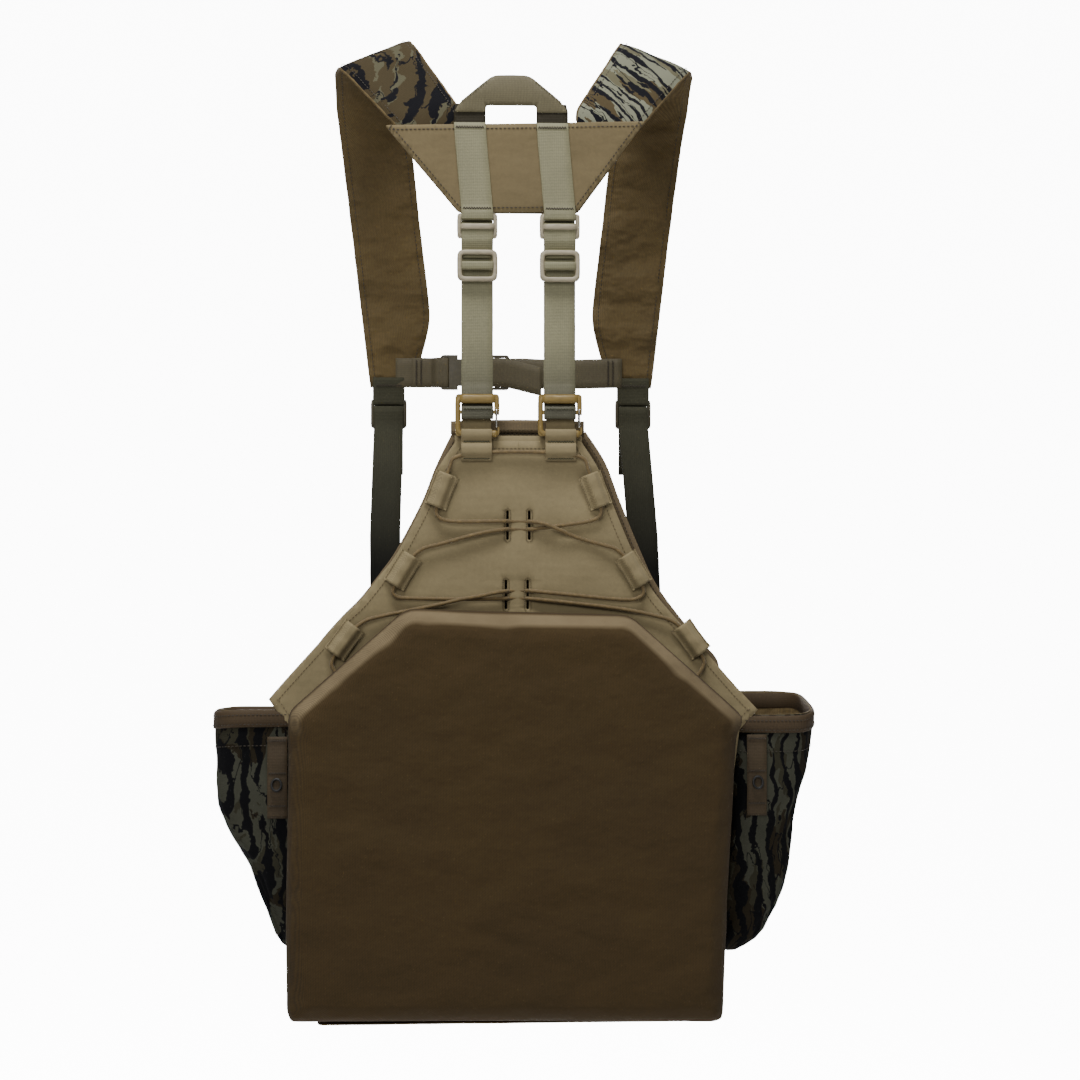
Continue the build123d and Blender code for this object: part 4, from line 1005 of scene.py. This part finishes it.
# ---- padded shoulder straps ----
FALL = 0.397            # fall of the shoulder per millimetre outwards
MIDDLE_X = 120.0
strap_line = spaced(rounded([(5.7, -60), (5.7, -26), (62, 66), (132, 26), (150, -62), (150, -250)], 40, 10), 6.0)
back_shape = [(84, -33), (101, -11), (149, 46), (149, 130), (88, 130), (88, 66), (47, -1), (47, -33)]
pad_inner = [tuple(p) for p in catmull([(91, 12), (85, -24), (80, -71), (71.5, -144), (71.8, -163), (83, -202),
                                        (94, -218.2)], 6)]
pad_outer = [(149, 130), (149.5, 22), (121, -218.2)]
front_shape = [(88, 130), *pad_inner, *pad_outer[::-1]]


def inside(shape, x, z):
    found = False
    for (x0, z0), (x1, z1) in zip(shape, shape[1:] + shape[:1]):
        if (z0 > z) != (z1 > z) and x < x0 + (z - z0) / (z1 - z0) * (x1 - x0):
            found = not found
    return found


apex = max(range(len(strap_line)), key=lambda i: strap_line[i][1])
strap_rows = []
for i, (y, height) in enumerate(strap_line):
    shape = back_shape if i <= apex else front_shape
    slope = FALL * min(max((height + 218) / 110, 0), 1) if i > apex else FALL
    found = [x for x in np.arange(44, 156, 0.5) if inside(shape, x, height - slope * (x - MIDDLE_X))]
    if len(found) < 8:
        continue
    before, after = strap_line[max(i - 1, 0)], strap_line[min(i + 1, len(strap_line) - 1)]
    dy, dz = after[0] - before[0], after[1] - before[1]
    outward = np.array((slope * dy, -dz, dy))
    strap_rows.append((y, height, slope, found[0], found[-1], outward / np.linalg.norm(outward)))
# The outlines change at the fold, so the widths are eased into each other there.
lows, highs = [row[3] for row in strap_rows], [row[4] for row in strap_rows]
for _ in range(2):
    lows = [lows[0]] + [(a + 2 * b + c) / 4 for a, b, c in zip(lows, lows[1:], lows[2:])] + [lows[-1]]
    highs = [highs[0]] + [(a + 2 * b + c) / 4 for a, b, c in zip(highs, highs[1:], highs[2:])] + [highs[-1]]
STRAP_STEPS = 22
apex_row = max(range(len(strap_rows)), key=lambda i: strap_rows[i][1])


def strap_surface(side, row, u, offset):
    """A point of the strap: u from -1 at its inner edge to 1 at its outer edge, offset off its middle."""
    y, height, slope, _, _, outward = strap_rows[row]
    x = lows[row] + (highs[row] - lows[row]) * (u + 1) / 2
    point = np.array((x, y, height - slope * (x - MIDDLE_X))) + outward * offset
    return np.array((point[0] * side, point[1], point[2]))


def strap_skin(side, sign, seed):
    """One face of the strap, crowned between its edges, with soft wrinkles, and a plain inner side."""
    rows = []
    for row in range(len(strap_rows)):
        share = row / (len(strap_rows) - 1)
        taper = min(1, (1 - share) * 14 + 0.35)
        face, core = [], []
        for k in range(STRAP_STEPS + 1):
            u = -math.cos(math.pi * k / STRAP_STEPS)
            crown = (1 - abs(u) ** 5) * taper
            place = strap_surface(1, row, u, 0)
            wrinkle = 1.3 * noise.noise(Vector((place[0] * 0.03 + seed, place[1] * 0.02, place[2] * 0.035)))
            wrinkle += 0.8 * noise.noise(Vector((place[0] * 0.05 + seed, place[1] * 0.09, place[2] * 0.10)))
            wrinkle *= 1.0 if sign > 0 else 1.6
            fold = 1 - 0.5 * math.exp(-((row - apex_row) / 2.5) ** 2)
            depth = 0.7 + (2.7 * crown + wrinkle * crown) * fold
            face.append(strap_surface(side, row, u, sign * max(depth, 0.5)))
            core.append(strap_surface(side, row, u * 0.99, sign * 0.06))
        rows.append(face + core[::-1])
    return loft(rows)


def strap_seams(side, sign, insets, pitch=3.4, rows_from=0):
    parts = []
    for inset in insets:
        for edge in (-1, 1):
            line, ways = [], []
            for row in range(rows_from, len(strap_rows)):
                u = edge * (1 - 2 * inset / (highs[row] - lows[row]))
                crown = (1 - abs(u) ** 5)
                line.append(strap_surface(side, row, u, sign * (0.9 + 2.7 * crown)))
                out = strap_rows[row][5] * sign
                ways.append(np.array((out[0] * side, out[1], out[2])))
            line_array = np.array(line)

            def way(point):
                return ways[int(np.argmin(np.linalg.norm(line_array - point, axis=1)))]

            parts += stitch_row(line, way, pitch, thick=0.75)
    return parts


for name, side in SIDES:
    shell = made(f"shoulder_strap_{name}_shell", *strap_skin(side, 1, 3 + side), f"camo_{name}", "vest", "camo_fabric")
    lining = made(f"shoulder_strap_{name}_lining", *strap_skin(side, -1, 8 + side), "twill", "vest", "brown_twill")
    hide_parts(f"strap_shell_{name}")
    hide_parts(f"strap_foam_{name}", f"strap_lining_{name}")
    stitched(f"shoulder_strap_{name}_shell_stitching", strap_seams(side, 1, (4.2,), rows_from=6), "thread_dark",
             "vest", "camo_fabric")
    stitched(f"shoulder_strap_{name}_lining_stitching", strap_seams(side, -1, (4.2,), rows_from=6), "thread_dark",
             "vest", "brown_twill")
    # A folded tape binds the strap's two edges.
    tape = []
    for edge in (-1, 1):
        rows = []
        for row in range(4, len(strap_rows)):
            ring = []
            for depth, reach in ((-2.4, -0.4), (-1.2, 0.5), (0, 0.85), (1.2, 0.5), (2.4, -0.4), (1.0, -1.6), (-1.0, -1.6)):
                u = edge * (1 + 2 * reach / (highs[row] - lows[row]))
                ring.append(strap_surface(side, row, u, depth * 0.55))
            rows.append(ring)
        tape.append(loft(rows))
    made(f"shoulder_strap_{name}_edge_tape", *joined(tape), "twill", "vest", "brown_twill")

# The yoke's pad on the wearer's side.
pad_outline = [(-85, -33.5), (85, -33.5), (47.5, -84.5), (-47.5, -84.5)]
pad_line = smooth_loop(rounded([(0, -33.5)] + [pad_outline[1], pad_outline[2], pad_outline[3], pad_outline[0]]
                               + [(0, -33.5)], 4)[:-1], 4)
pad_verts, pad_faces = cut_plate(pad_line, [], 4)
pad_front, pad_back = [], []
for x, _, z in pad_verts:
    inset = edge_distance(pad_line, x, z)
    swell = 1 - math.exp(-inset / 5)
    crease = 0.8 * math.exp(-((abs(x) - 22) / 2.2) ** 2) * swell
    pad_front.append((x, 5.8 - 1.6 * swell, z))
    pad_back.append((x, 7.4 + 4.0 * swell - crease + 0.5 * noise.noise(Vector((x * 0.04, 1, z * 0.04))) * swell, z))
count = len(pad_verts)
edge_use = {}
for face in pad_faces:
    for a, b in zip(face, face[1:] + face[:1]):
        edge_use.setdefault(tuple(sorted((a, b))), []).append((a, b))
pad_rim = [uses[0] for uses in edge_use.values() if len(uses) == 1]
yoke_pad = made("yoke_pad_cushion", pad_front + pad_back,
                list(pad_faces) + [tuple(i + count for i in face[::-1]) for face in pad_faces]
                + [(b, a, a + count, b + count) for a, b in pad_rim], "twill", "vest", "brown_twill")
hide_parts("yoke_pad", "yoke_lining")
pad_seam = [(x, 10.2, z) for x, z in inset_line(pad_line, 4.2)]
stitched("yoke_pad_stitching", stitch_row(pad_seam + pad_seam[:1], (0, 1, 0)), "thread_dark", "vest", "brown_twill")


# ---- ladder locks, side webbings and sternum strap ----
tab_bands, side_tacks = [], []
for name, side in SIDES:
    x = side * 106.0
    tab_bands.append(band([(x, y, z) for y, z in ((145.6, -206), (146.2, -217), (146.9, -222), (146.9, -229.65),
                                                 (152.6, -229.65), (152.6, -219), (153.4, -208))],
                          (1, 0, 0), 27.5, 1.5, bend=3, step=3, seed=side))
    side_tacks += bartack((x, 144.7, -213), 22, 2.0, normal=(0, -1, 0), teeth=18, thick=0.8)
    tail = made(f"lock_tail_{name}_band", *joined([
        band([(x, y, z) for y, z in ((146.9, -238.8), (146.9, -234.95), (152.6, -234.95), (152.7, -252),
                                    (152.2, -270), (152.9, -288))], (1, 0, 0), 24.6, 1.5, wave=0.5, step=3, seed=side),
        band([(x, y, z) for y, z in ((154.3, -276), (154.4, -287), (153.4, -289.6), (151.8, -288))],
             (1, 0, 0), 24.6, 1.4, step=2),
        band([(x, 154.9, -228), (x, 155.0, -240), (x, 154.9, -251)], (1, 0, 0), 24.4, 1.2, step=4)]),
        "brown", f"lock_{name}", "brown_webbing")
    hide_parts(f"lock_tail_{name}")
    run = made(f"side_webbing_{name}_band", *band(
        [(x + dx * side, y, z) for dx, y, z in ((0, 144.8, -230.8), (0, 144.9, -247), (1, 116, -292), (2, 84, -342),
                                               (1, 55, -387), (0, 26.4, -431), (0, 23.3, -438), (0, 23.2, -462))],
        (1, 0, 0), 25.4, 1.7, bend=5, wave=1.0, seed=side + 9), "brown", "vest", "brown_webbing")
    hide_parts(f"side_webbing_{name}")
    side_tacks += bartack((x, 24.4, -458), 22, 2.0, normal=(0, 1, 0), teeth=18, thick=0.8)
    side_tacks += bartack((x, 24.4, -444), 22, 2.0, normal=(0, 1, 0), teeth=18, thick=0.8)
pad_tabs = made("pad_tab_bands", *joined(tab_bands), "brown", "vest", "brown_webbing")
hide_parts("pad_tabs")
stitched("side_webbing_bartacks", side_tacks, "thread_dark", "vest", "brown_webbing")

sternum_z = -202.0
left_band = made("sternum_webbing_left_band", *band(
    [(x, y, sternum_z) for x, y in ((-100, 146.0), (-84, 145.3), (-68, 144.8), (-64, 144.1), (-54.5, 144.1),
                                    (-54.5, 137.1), (-65, 137.1), (-69, 142.6), (-86, 142.7))],
    (0, 0, 1), 25.4, 1.5, bend=2, step=3), "brown_flat", "vest", "brown_webbing")
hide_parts("sternum_webbing_left")
right_band = made("sternum_webbing_right_band", *band(
    [(x, y, sternum_z + dz) for x, y, dz in ((-9.5, 144.9, 0), (10, 145.0, 0.2), (34, 145.5, -0.8), (60, 145.2, -0.6),
                                           (80, 145.1, 0), (96, 145.4, 0.4))],
    (0, 0, 1), 25.4, 1.5, wave=0.5, seed=3), "brown_flat", "vest", "brown_webbing")
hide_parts("sternum_webbing_right")
tail = made("sternum_tail_band", *band(
    [(x, y, sternum_z + dz) for x, y, dz in ((-18.4, 137.0, 0), (-6, 136.8, -0.2), (8, 136.4, -3.6), (25.5, 136.2, -8))],
    (0, 0, 1), 24.8, 1.5, step=3), "brown_flat", "sternum_male", "brown_webbing")
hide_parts("sternum_tail")
stitched("sternum_bartacks",
         [s for x, y in ((-78, 141.6), (-82, 141.6), (84, 144.1), (88, 144.1))
          for s in bartack((x, y, sternum_z), 22, 1.6, across=(0, 0, 1), up=(1, 0, 0), teeth=18, thick=0.75)],
         "thread_dark", "vest", "brown_webbing")


# ---- hip pockets ----
PROFILES = {
    1: [(-478, 243), (-500, 242), (-534, 238), (-560, 230), (-580, 225), (-610, 221), (-642, 214), (-662, 202),
        (-679, 186)],
    -1: [(-478, 244), (-500, 245), (-544, 244), (-562, 241), (-577, 234), (-609, 216), (-647, 200), (-668, 192),
         (-679, 184)],
}
FAR = [(-478, 110), (-540, 110), (-606, 98), (-650, 78), (-679, 56)]


def looked_up(table, z):
    zs = [row[0] for row in table][::-1]
    return float(np.interp(z, zs, [row[1] for row in table][::-1]))


def pocket_point(side, angle, z, inset=0.0):
    """A point of the pocket's wall. Angle 0 is its outer side, and -90 degrees faces away from the wearer."""
    outer, far = looked_up(PROFILES[side], z), looked_up(FAR, z)
    near = 3.0 + max(0, (-606 - z) / 74) * 4
    inner = 170.8 - (12 if side > 0 else 0) * min(max((-560 - z) / 119, 0), 1)
    centre = np.array(((inner + outer) / 2, (near + far) / 2))
    half = np.array(((outer - inner) / 2, (far - near) / 2)) - inset
    c, s = math.cos(angle), math.sin(angle)
    power = 0.52
    x = math.copysign(abs(c) ** (power if c > 0 else 0.3), c) * half[0]
    y = math.copysign(abs(s) ** (power if c > 0 else 0.3), s) * half[1]
    drop = min(max((-495 - z) / 60, 0), 1)
    # Two upright creases towards the camera, a bellows fold outside, and slack that grows downwards.
    fold = -4.6 * math.exp(-((angle + 1.28) / 0.10) ** 2) * drop
    fold -= 7.0 * math.exp(-((angle + 0.30 - 0.1 * drop) / 0.10) ** 2) * drop
    fold += 2.2 * math.exp(-((angle + 0.62) / 0.16) ** 2) * drop
    slack = noise.noise(Vector((math.cos(angle) * 1.7 + side * 4, math.sin(angle) * 1.7, z * 0.022)))
    fine = noise.noise(Vector((math.cos(angle) * 4.5 + side * 9, math.sin(angle) * 4.5, z * 0.055)))
    sag = 4.2 * slack * (0.25 + 0.75 * drop) + 2.4 * fine * drop
    reach = 1 + (fold + min(sag, 1.8)) / max(np.linalg.norm((x, y)), 8)
    inner_side = max(0.0, -c) ** 2
    reach = 1 + (reach - 1) * (1 - inner_side)
    return np.array(((centre[0] + x * reach) * side, centre[1] + y * reach, z))


def rim_height(y, side):
    """The mouth's edge. The left pocket hangs almost shut, so its edge stays level."""
    return -488 + 0.11 * (y - 3) if side > 0 else -483 - 0.05 * (y - 3)


ANGLES = 96
for name, side in SIDES:
    levels = [0, 0.02, 0.05, 0.09] + list(np.linspace(0.13, 0.96, 30)) + [0.985, 1.0]
    outside, lining_out, lining_in = [], [], []
    for level in levels:
        rings = [[], [], []]
        for k in range(ANGLES):
            angle = 2 * math.pi * k / ANGLES
            y_guess = pocket_point(side, angle, -500)[1]
            z = -679 + (rim_height(y_guess, side) + 679) * level
            tuck = 9 * (1 - min(level / 0.09, 1)) ** 2
            for ring, inset in zip(rings, (0.0, 1.0, 1.9)):
                ring.append(pocket_point(side, angle, z if level > 0 else -679, inset + tuck))
        outside.append(rings[0])
        lining_out.append(rings[1])
        lining_in.append(rings[2])
    lift_ring = lambda ring, dz: [p + np.array((0, 0, dz)) for p in ring]
    outer_skin = outside + lining_out[::-1][:len(levels) - 1]
    outer_skin = outside + [lift_ring(ring, 0.8 if i == len(levels) - 1 else 0)
                            for i, ring in reversed(list(enumerate(lining_out)))]
    shell = made(f"hip_pocket_{name}_shell", *loft(outer_skin), "camo_pocket", "vest", "camo_fabric")
    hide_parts(f"hip_pocket_{name}")
    liner_rings = [lift_ring(ring, 1.2) for ring in lining_out] + [lift_ring(ring, 1.2) for ring in lining_in[::-1]]
    made(f"hip_pocket_{name}_liner", *loft([[p + (np.array((174 * side + side * 35, 55, p[2])) - p) * 0.006
                                             for p in ring] for ring in liner_rings]),
         "twill", "vest", "brown_twill")
    # The mouth's binding: a tape folded over the rim, with two rows of stitches.
    rings, seam_lines = [], [[], [], []]
    for k in range(ANGLES):
        angle = 2 * math.pi * k / ANGLES
        foot = pocket_point(side, angle, -500)
        top = rim_height(foot[1], side) + 0.9 * math.sin(2 * angle + side)
        out = foot - np.array(((174 + 243) / 2 * side, 56, foot[2]))
        out /= np.linalg.norm(out)
        ring = []
        for reach, dz in ((0.9, -13.2), (1.7, -12.4), (1.75, -6), (1.6, -0.8), (0.4, 0.9), (-1.6, 0.9), (-2.9, -0.8),
                          (-3.0, -6), (-2.9, -12.4), (-2.2, -13.2), (-0.4, -9.0)):
            base = pocket_point(side, angle, top + min(dz, 0))
            ring.append(base + out * reach + np.array((0, 0, max(dz, 0))))
        rings.append(ring)
        seam_lines[0].append((pocket_point(side, angle, top - 10.8) + out * 1.85, out))
        seam_lines[1].append((pocket_point(side, angle, top - 3.2) + out * 1.8, out))
        seam_lines[2].append((pocket_point(side, angle, top - 28.0) + out * 0.2, out))
    verts, faces = loft([list(r) for r in zip(*rings)] + [[r[0] for r in rings]], caps=False)
    binding = made(f"pocket_binding_{name}_tape", verts, faces, "binding", "vest", "brown_twill")
    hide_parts(f"pocket_binding_{name}")
    seams = []
    for line in seam_lines:
        points = [p for p, _ in line] + [line[0][0]]
        cloud = np.array([p for p, _ in line])
        ways = [w for _, w in line]
        seams += stitch_row(points, lambda p, c=cloud, w=ways: w[int(np.argmin(np.linalg.norm(c - p, axis=1)))], 3.2,
                            thick=0.7)
    stitched(f"hip_pocket_{name}_stitching", seams, "thread_dark", "vest", "brown_twill")

tab_parts, tab_tacks, ring_parts = [], [], []
for side in (-1, 1):
    x = side * 192.0
    tab_parts.append(band([(x, y, z) for y, z in ((1.9, -503), (1.5, -512), (0.6, -522), (1.4, -532), (0.4, -545),
                                                (1.3, -556), (1.9, -568))], (1, 0, 0), 16, 1.5, bend=5, step=3, seed=side))
    for z in (-506, -532, -558):
        tab_tacks += bartack((x, 0.3, z), 14, 1.7, teeth=14, thick=0.7)
    centre = np.array((x + side * 0.5, -2.0, -541.0))
    rings = []
    for k in range(28):
        a = 2 * math.pi * k / 28
        out = np.array((math.cos(a), 0.0, math.sin(a)))
        middle = centre + out * np.array((3.8, 1, 4.6)) + np.array((0, 0.9 * math.sin(a), 0))
        rings.append([middle + (out * math.cos(b) + np.array((0, 1, 0)) * math.sin(b)) * 1.0
                      for b in np.linspace(0, 2 * math.pi, 11)[:-1]])
    ring_parts.append(loft(rings + rings[:1], caps=False))
pocket_tabs = made("pocket_tab_bands", *joined(tab_parts), "binding_up", "vest", "brown_webbing")
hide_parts("pocket_tabs")
stitched("pocket_tab_bartacks", tab_tacks, "thread_dark", "vest", "brown_webbing")
made("pocket_tab_rings", *joined(ring_parts), "ring", "vest", "moulded_buckle")


# ---- fold-down seat ----
seat_corners = [(-90.5, -399), (88, -404), (181, -487), (174, -500), (166, -640), (162, -729.5), (-184, -725.5),
                (-185.5, -640), (-183, -498), (-184, -481)]
seat_line = smooth_loop(rounded([(0, -401.5)] + seat_corners[1:] + seat_corners[:1] + [(0, -401.5)], 7, 5)[:-1], 4)


def seat_ring(inset, y):
    return [(p[0], y, p[1]) for p in inset_line(seat_line, inset)] if inset else [(x, y, z) for x, z in seat_line]


def fill_ring(ring):
    """Grid faces over a flat ring of points, at one depth."""
    verts, faces = cut_plate([(x, z) for x, _, z in ring], [], 6)
    return [(x, ring[0][1], z) for x, _, z in verts], faces


bevel = ((2.5, -7.0), (0.6, -7.9), (0, -10), (0, -24), (0.9, -28.5), (3.4, -33), (7.6, -37), (12.5, -39.6), (15, -40.3))
bevel_rings = [seat_ring(inset, y) for inset, y in bevel]
side_verts, side_faces = loft(bevel_rings, caps=False)
front_verts, front_faces = fill_ring(bevel_rings[-1])
back_verts, back_faces = fill_ring(bevel_rings[0])
seat = made("seat_cushion", *joined([(side_verts, side_faces), (front_verts, front_faces), (back_verts, back_faces)]),
            "seat", None, "seat_fabric")
weld = bmesh.new()
weld.from_mesh(seat.data)
bmesh.ops.remove_doubles(weld, verts=weld.verts, dist=0.0006)
bmesh.ops.recalc_face_normals(weld, faces=weld.faces)
weld.to_mesh(seat.data)
weld.free()

remesh = seat.modifiers.new("even", "REMESH")
remesh.mode = "VOXEL"
remesh.voxel_size = 5 * MM
baked(seat)
scene = bpy.context.scene
rest = np.array([v.co for v in seat.data.vertices])
cloth = seat.modifiers.new("cloth", "CLOTH")
cloth.settings.quality = 5
cloth.settings.mass = 0.4
cloth.settings.tension_stiffness = 25
cloth.settings.compression_stiffness = 25
cloth.settings.bending_stiffness = 3
cloth.settings.use_pressure = True
cloth.settings.uniform_pressure_force = 3
cloth.settings.effector_weights.gravity = 0
for number in range(1, 19):
    scene.frame_set(number)
ready = seat.evaluated_get(bpy.context.evaluated_depsgraph_get())
swollen = np.array([v.co for v in ready.data.vertices])
scene.frame_set(1)
seat.modifiers.clear()
move = swollen - rest
length = np.linalg.norm(move, axis=1, keepdims=True)
move *= np.minimum(1, 3.0 * MM / np.maximum(length, 1e-9))
for vertex, place in zip(seat.data.vertices, rest + move * 0.6):
    vertex.co = place
seat_sampled = [(x * MM, z * MM) for x, z in seat_line]
# Soft creases of the face, as line ends in X and Z, a depth and a half-width.
SEAT_CREASES = (((-35, -652), (60, -690), 1.5, 5.5), ((-8, -640), (84, -668), 0.9, 5), ((30, -622), (120, -640), 0.7, 6),
                ((-150, -560), (-40, -578), 0.7, 7), ((-120, -690), (-20, -672), 0.9, 6), ((20, -520), (130, -505), 0.5, 7),
                ((90, -700), (150, -660), 0.8, 5))


def segment_distance(a, b, x, z):
    run = (b[0] - a[0], b[1] - a[1])
    t = ((x - a[0]) * run[0] + (z - a[1]) * run[1]) / (run[0] ** 2 + run[1] ** 2)
    t = min(max(t, 0), 1)
    return math.hypot(a[0] + run[0] * t - x, a[1] + run[1] * t - z)


for vertex in seat.data.vertices:
    x, y, z = vertex.co
    inset = edge_distance(seat_sampled, x, z) / MM
    if y < -0.03 and inset > 12:
        swell = min((inset - 12) / 60, 1)
        slack = noise.noise(Vector((x * 9, 3.0, z * 11))) * 1.0 + noise.noise(Vector((x * 26, 5.0, z * 30))) * 0.35
        crease = sum(depth * math.exp(-(segment_distance(a, b, x / MM, z / MM) / width) ** 2)
                     for a, b, depth, width in SEAT_CREASES)
        vertex.co.y -= (1.4 * swell + slack * swell - crease * swell) * MM
    vertex.co.y = min(vertex.co.y, -0.0066)
subdivided(seat)
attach(seat, "seat")
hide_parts("seat_cover", "seat_foam")

seat_seams = []
back_ring = [np.array((x, -6.4, z)) for x, _, z in seat_ring(9, 0)]
seat_seams += stitch_row([*back_ring, back_ring[0]], (0, 1, 0), 3.4, thick=0.7)
stitched("seat_stitching", seat_seams, "thread_dark", "seat", "seat_fabric")

# The hem that the seat folds about: one strip sewn to the panel and to the cushion's bottom edge.
hem_rows = []
for x in np.linspace(-160, 158, 54):
    drift = 0.3 * noise.noise(Vector((x * 0.03, 2, 2)))
    path = [(-1.0, -717.5), (-1.3, -724), (-2.2, -729.4), (-4.6, -731.6), (-7.6, -731.4), (-10.5, -729.8)]
    inner = [(-0.2, -717.5), (-0.4, -724), (-1.4, -728.6), (-4.2, -730.6), (-7.4, -730.5), (-10.2, -729.0)]
    hem_rows.append([(x, y, z + drift) for y, z in path] + [(x, y, z + drift) for y, z in inner[::-1]])
hem = made("seat_fold_hem", *loft(hem_rows), "twill", None, "tan_fabric")
subdivided(hem)
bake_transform(hem)
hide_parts("seat_hem")
stitched("seat_hem_stitching", stitch_row([(x, -1.5, -720.5) for x in np.linspace(-158, 156, 40)], (0, -1, 0)),
         "thread", "vest", "tan_fabric")


# ---- the hardware keeps its modelled shape and gets moulded or metal finishes ----
finishes = {
    "upper_buckles": "buckle", "triglide_left": "buckle", "triglide_right": "buckle",
    "ladder_lock_left": "dark_buckle", "ladder_lock_right": "dark_buckle",
    "sternum_female_buckle": "dark_buckle", "sternum_male_buckle": "dark_buckle",
    "sternum_prong_upper": "dark_buckle", "sternum_prong_lower": "dark_buckle",
    "gated_hook_left": "hook", "gated_hook_right": "hook",
    "wire_gate_left": "steel", "wire_gate_right": "steel",
    "seat_magnets": "magnet", "panel_magnets": "magnet",
}
for node, finish in finishes.items():
    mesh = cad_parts[node].data
    mesh.materials.clear()
    mesh.materials.append(M[finish])


# ---- studio ----
def backdrop(name, corners, glow):
    """A plain pale sheet of the studio, far enough off to leave the vest's own shading alone."""
    shader = Shader(name, 0.9)
    shader.surface.inputs["Base Color"].default_value = (0.97, 0.97, 0.97, 1)
    shader.surface.inputs["Emission Color"].default_value = (1, 1, 1, 1)
    shader.surface.inputs["Emission Strength"].default_value = glow
    mesh = bpy.data.meshes.new(name)
    mesh.from_pydata(corners, [], [(0, 1, 2, 3)])
    mesh.materials.append(shader.material)
    sheet = bpy.data.objects.new(name, mesh)
    bpy.context.scene.collection.objects.link(sheet)


backdrop("studio_wall", [(-3.0, 8, -2.95), (3.0, 8, -2.95), (3.0, 8, 2.5), (-3.0, 8, 2.5)], 11.0)
backdrop("studio_floor", [(-9, -9, -2.95), (9, -9, -2.95), (9, 9, -2.95), (-9, 9, -2.95)], 0.3)

world = bpy.data.worlds.new("studio")
world.use_nodes = True
world.node_tree.nodes["Background"].inputs["Color"].default_value = (1, 1, 1, 1)
world.node_tree.nodes["Background"].inputs["Strength"].default_value = 0.18
bpy.context.scene.world = world


def lamp(name, place, aim, size, power):
    data = bpy.data.lights.new(name, "AREA")
    data.shape = "RECTANGLE"
    data.size, data.size_y = size
    data.energy = power
    light = bpy.data.objects.new(name, data)
    bpy.context.scene.collection.objects.link(light)
    light.location = place
    light.rotation_euler = (Vector(aim) - Vector(place)).to_track_quat("-Z", "Y").to_euler()


lamp("key", (-0.15, -0.62, 1.25), (0, 0, -0.25), (0.9, 0.45), 30)
lamp("front", (-0.45, -1.9, 0.45), (0, 0, -0.28), (0.9, 0.7), 16)
lamp("top", (0, 0.35, 1.4), (0, 0.1, -0.3), (1.4, 0.8), 4)
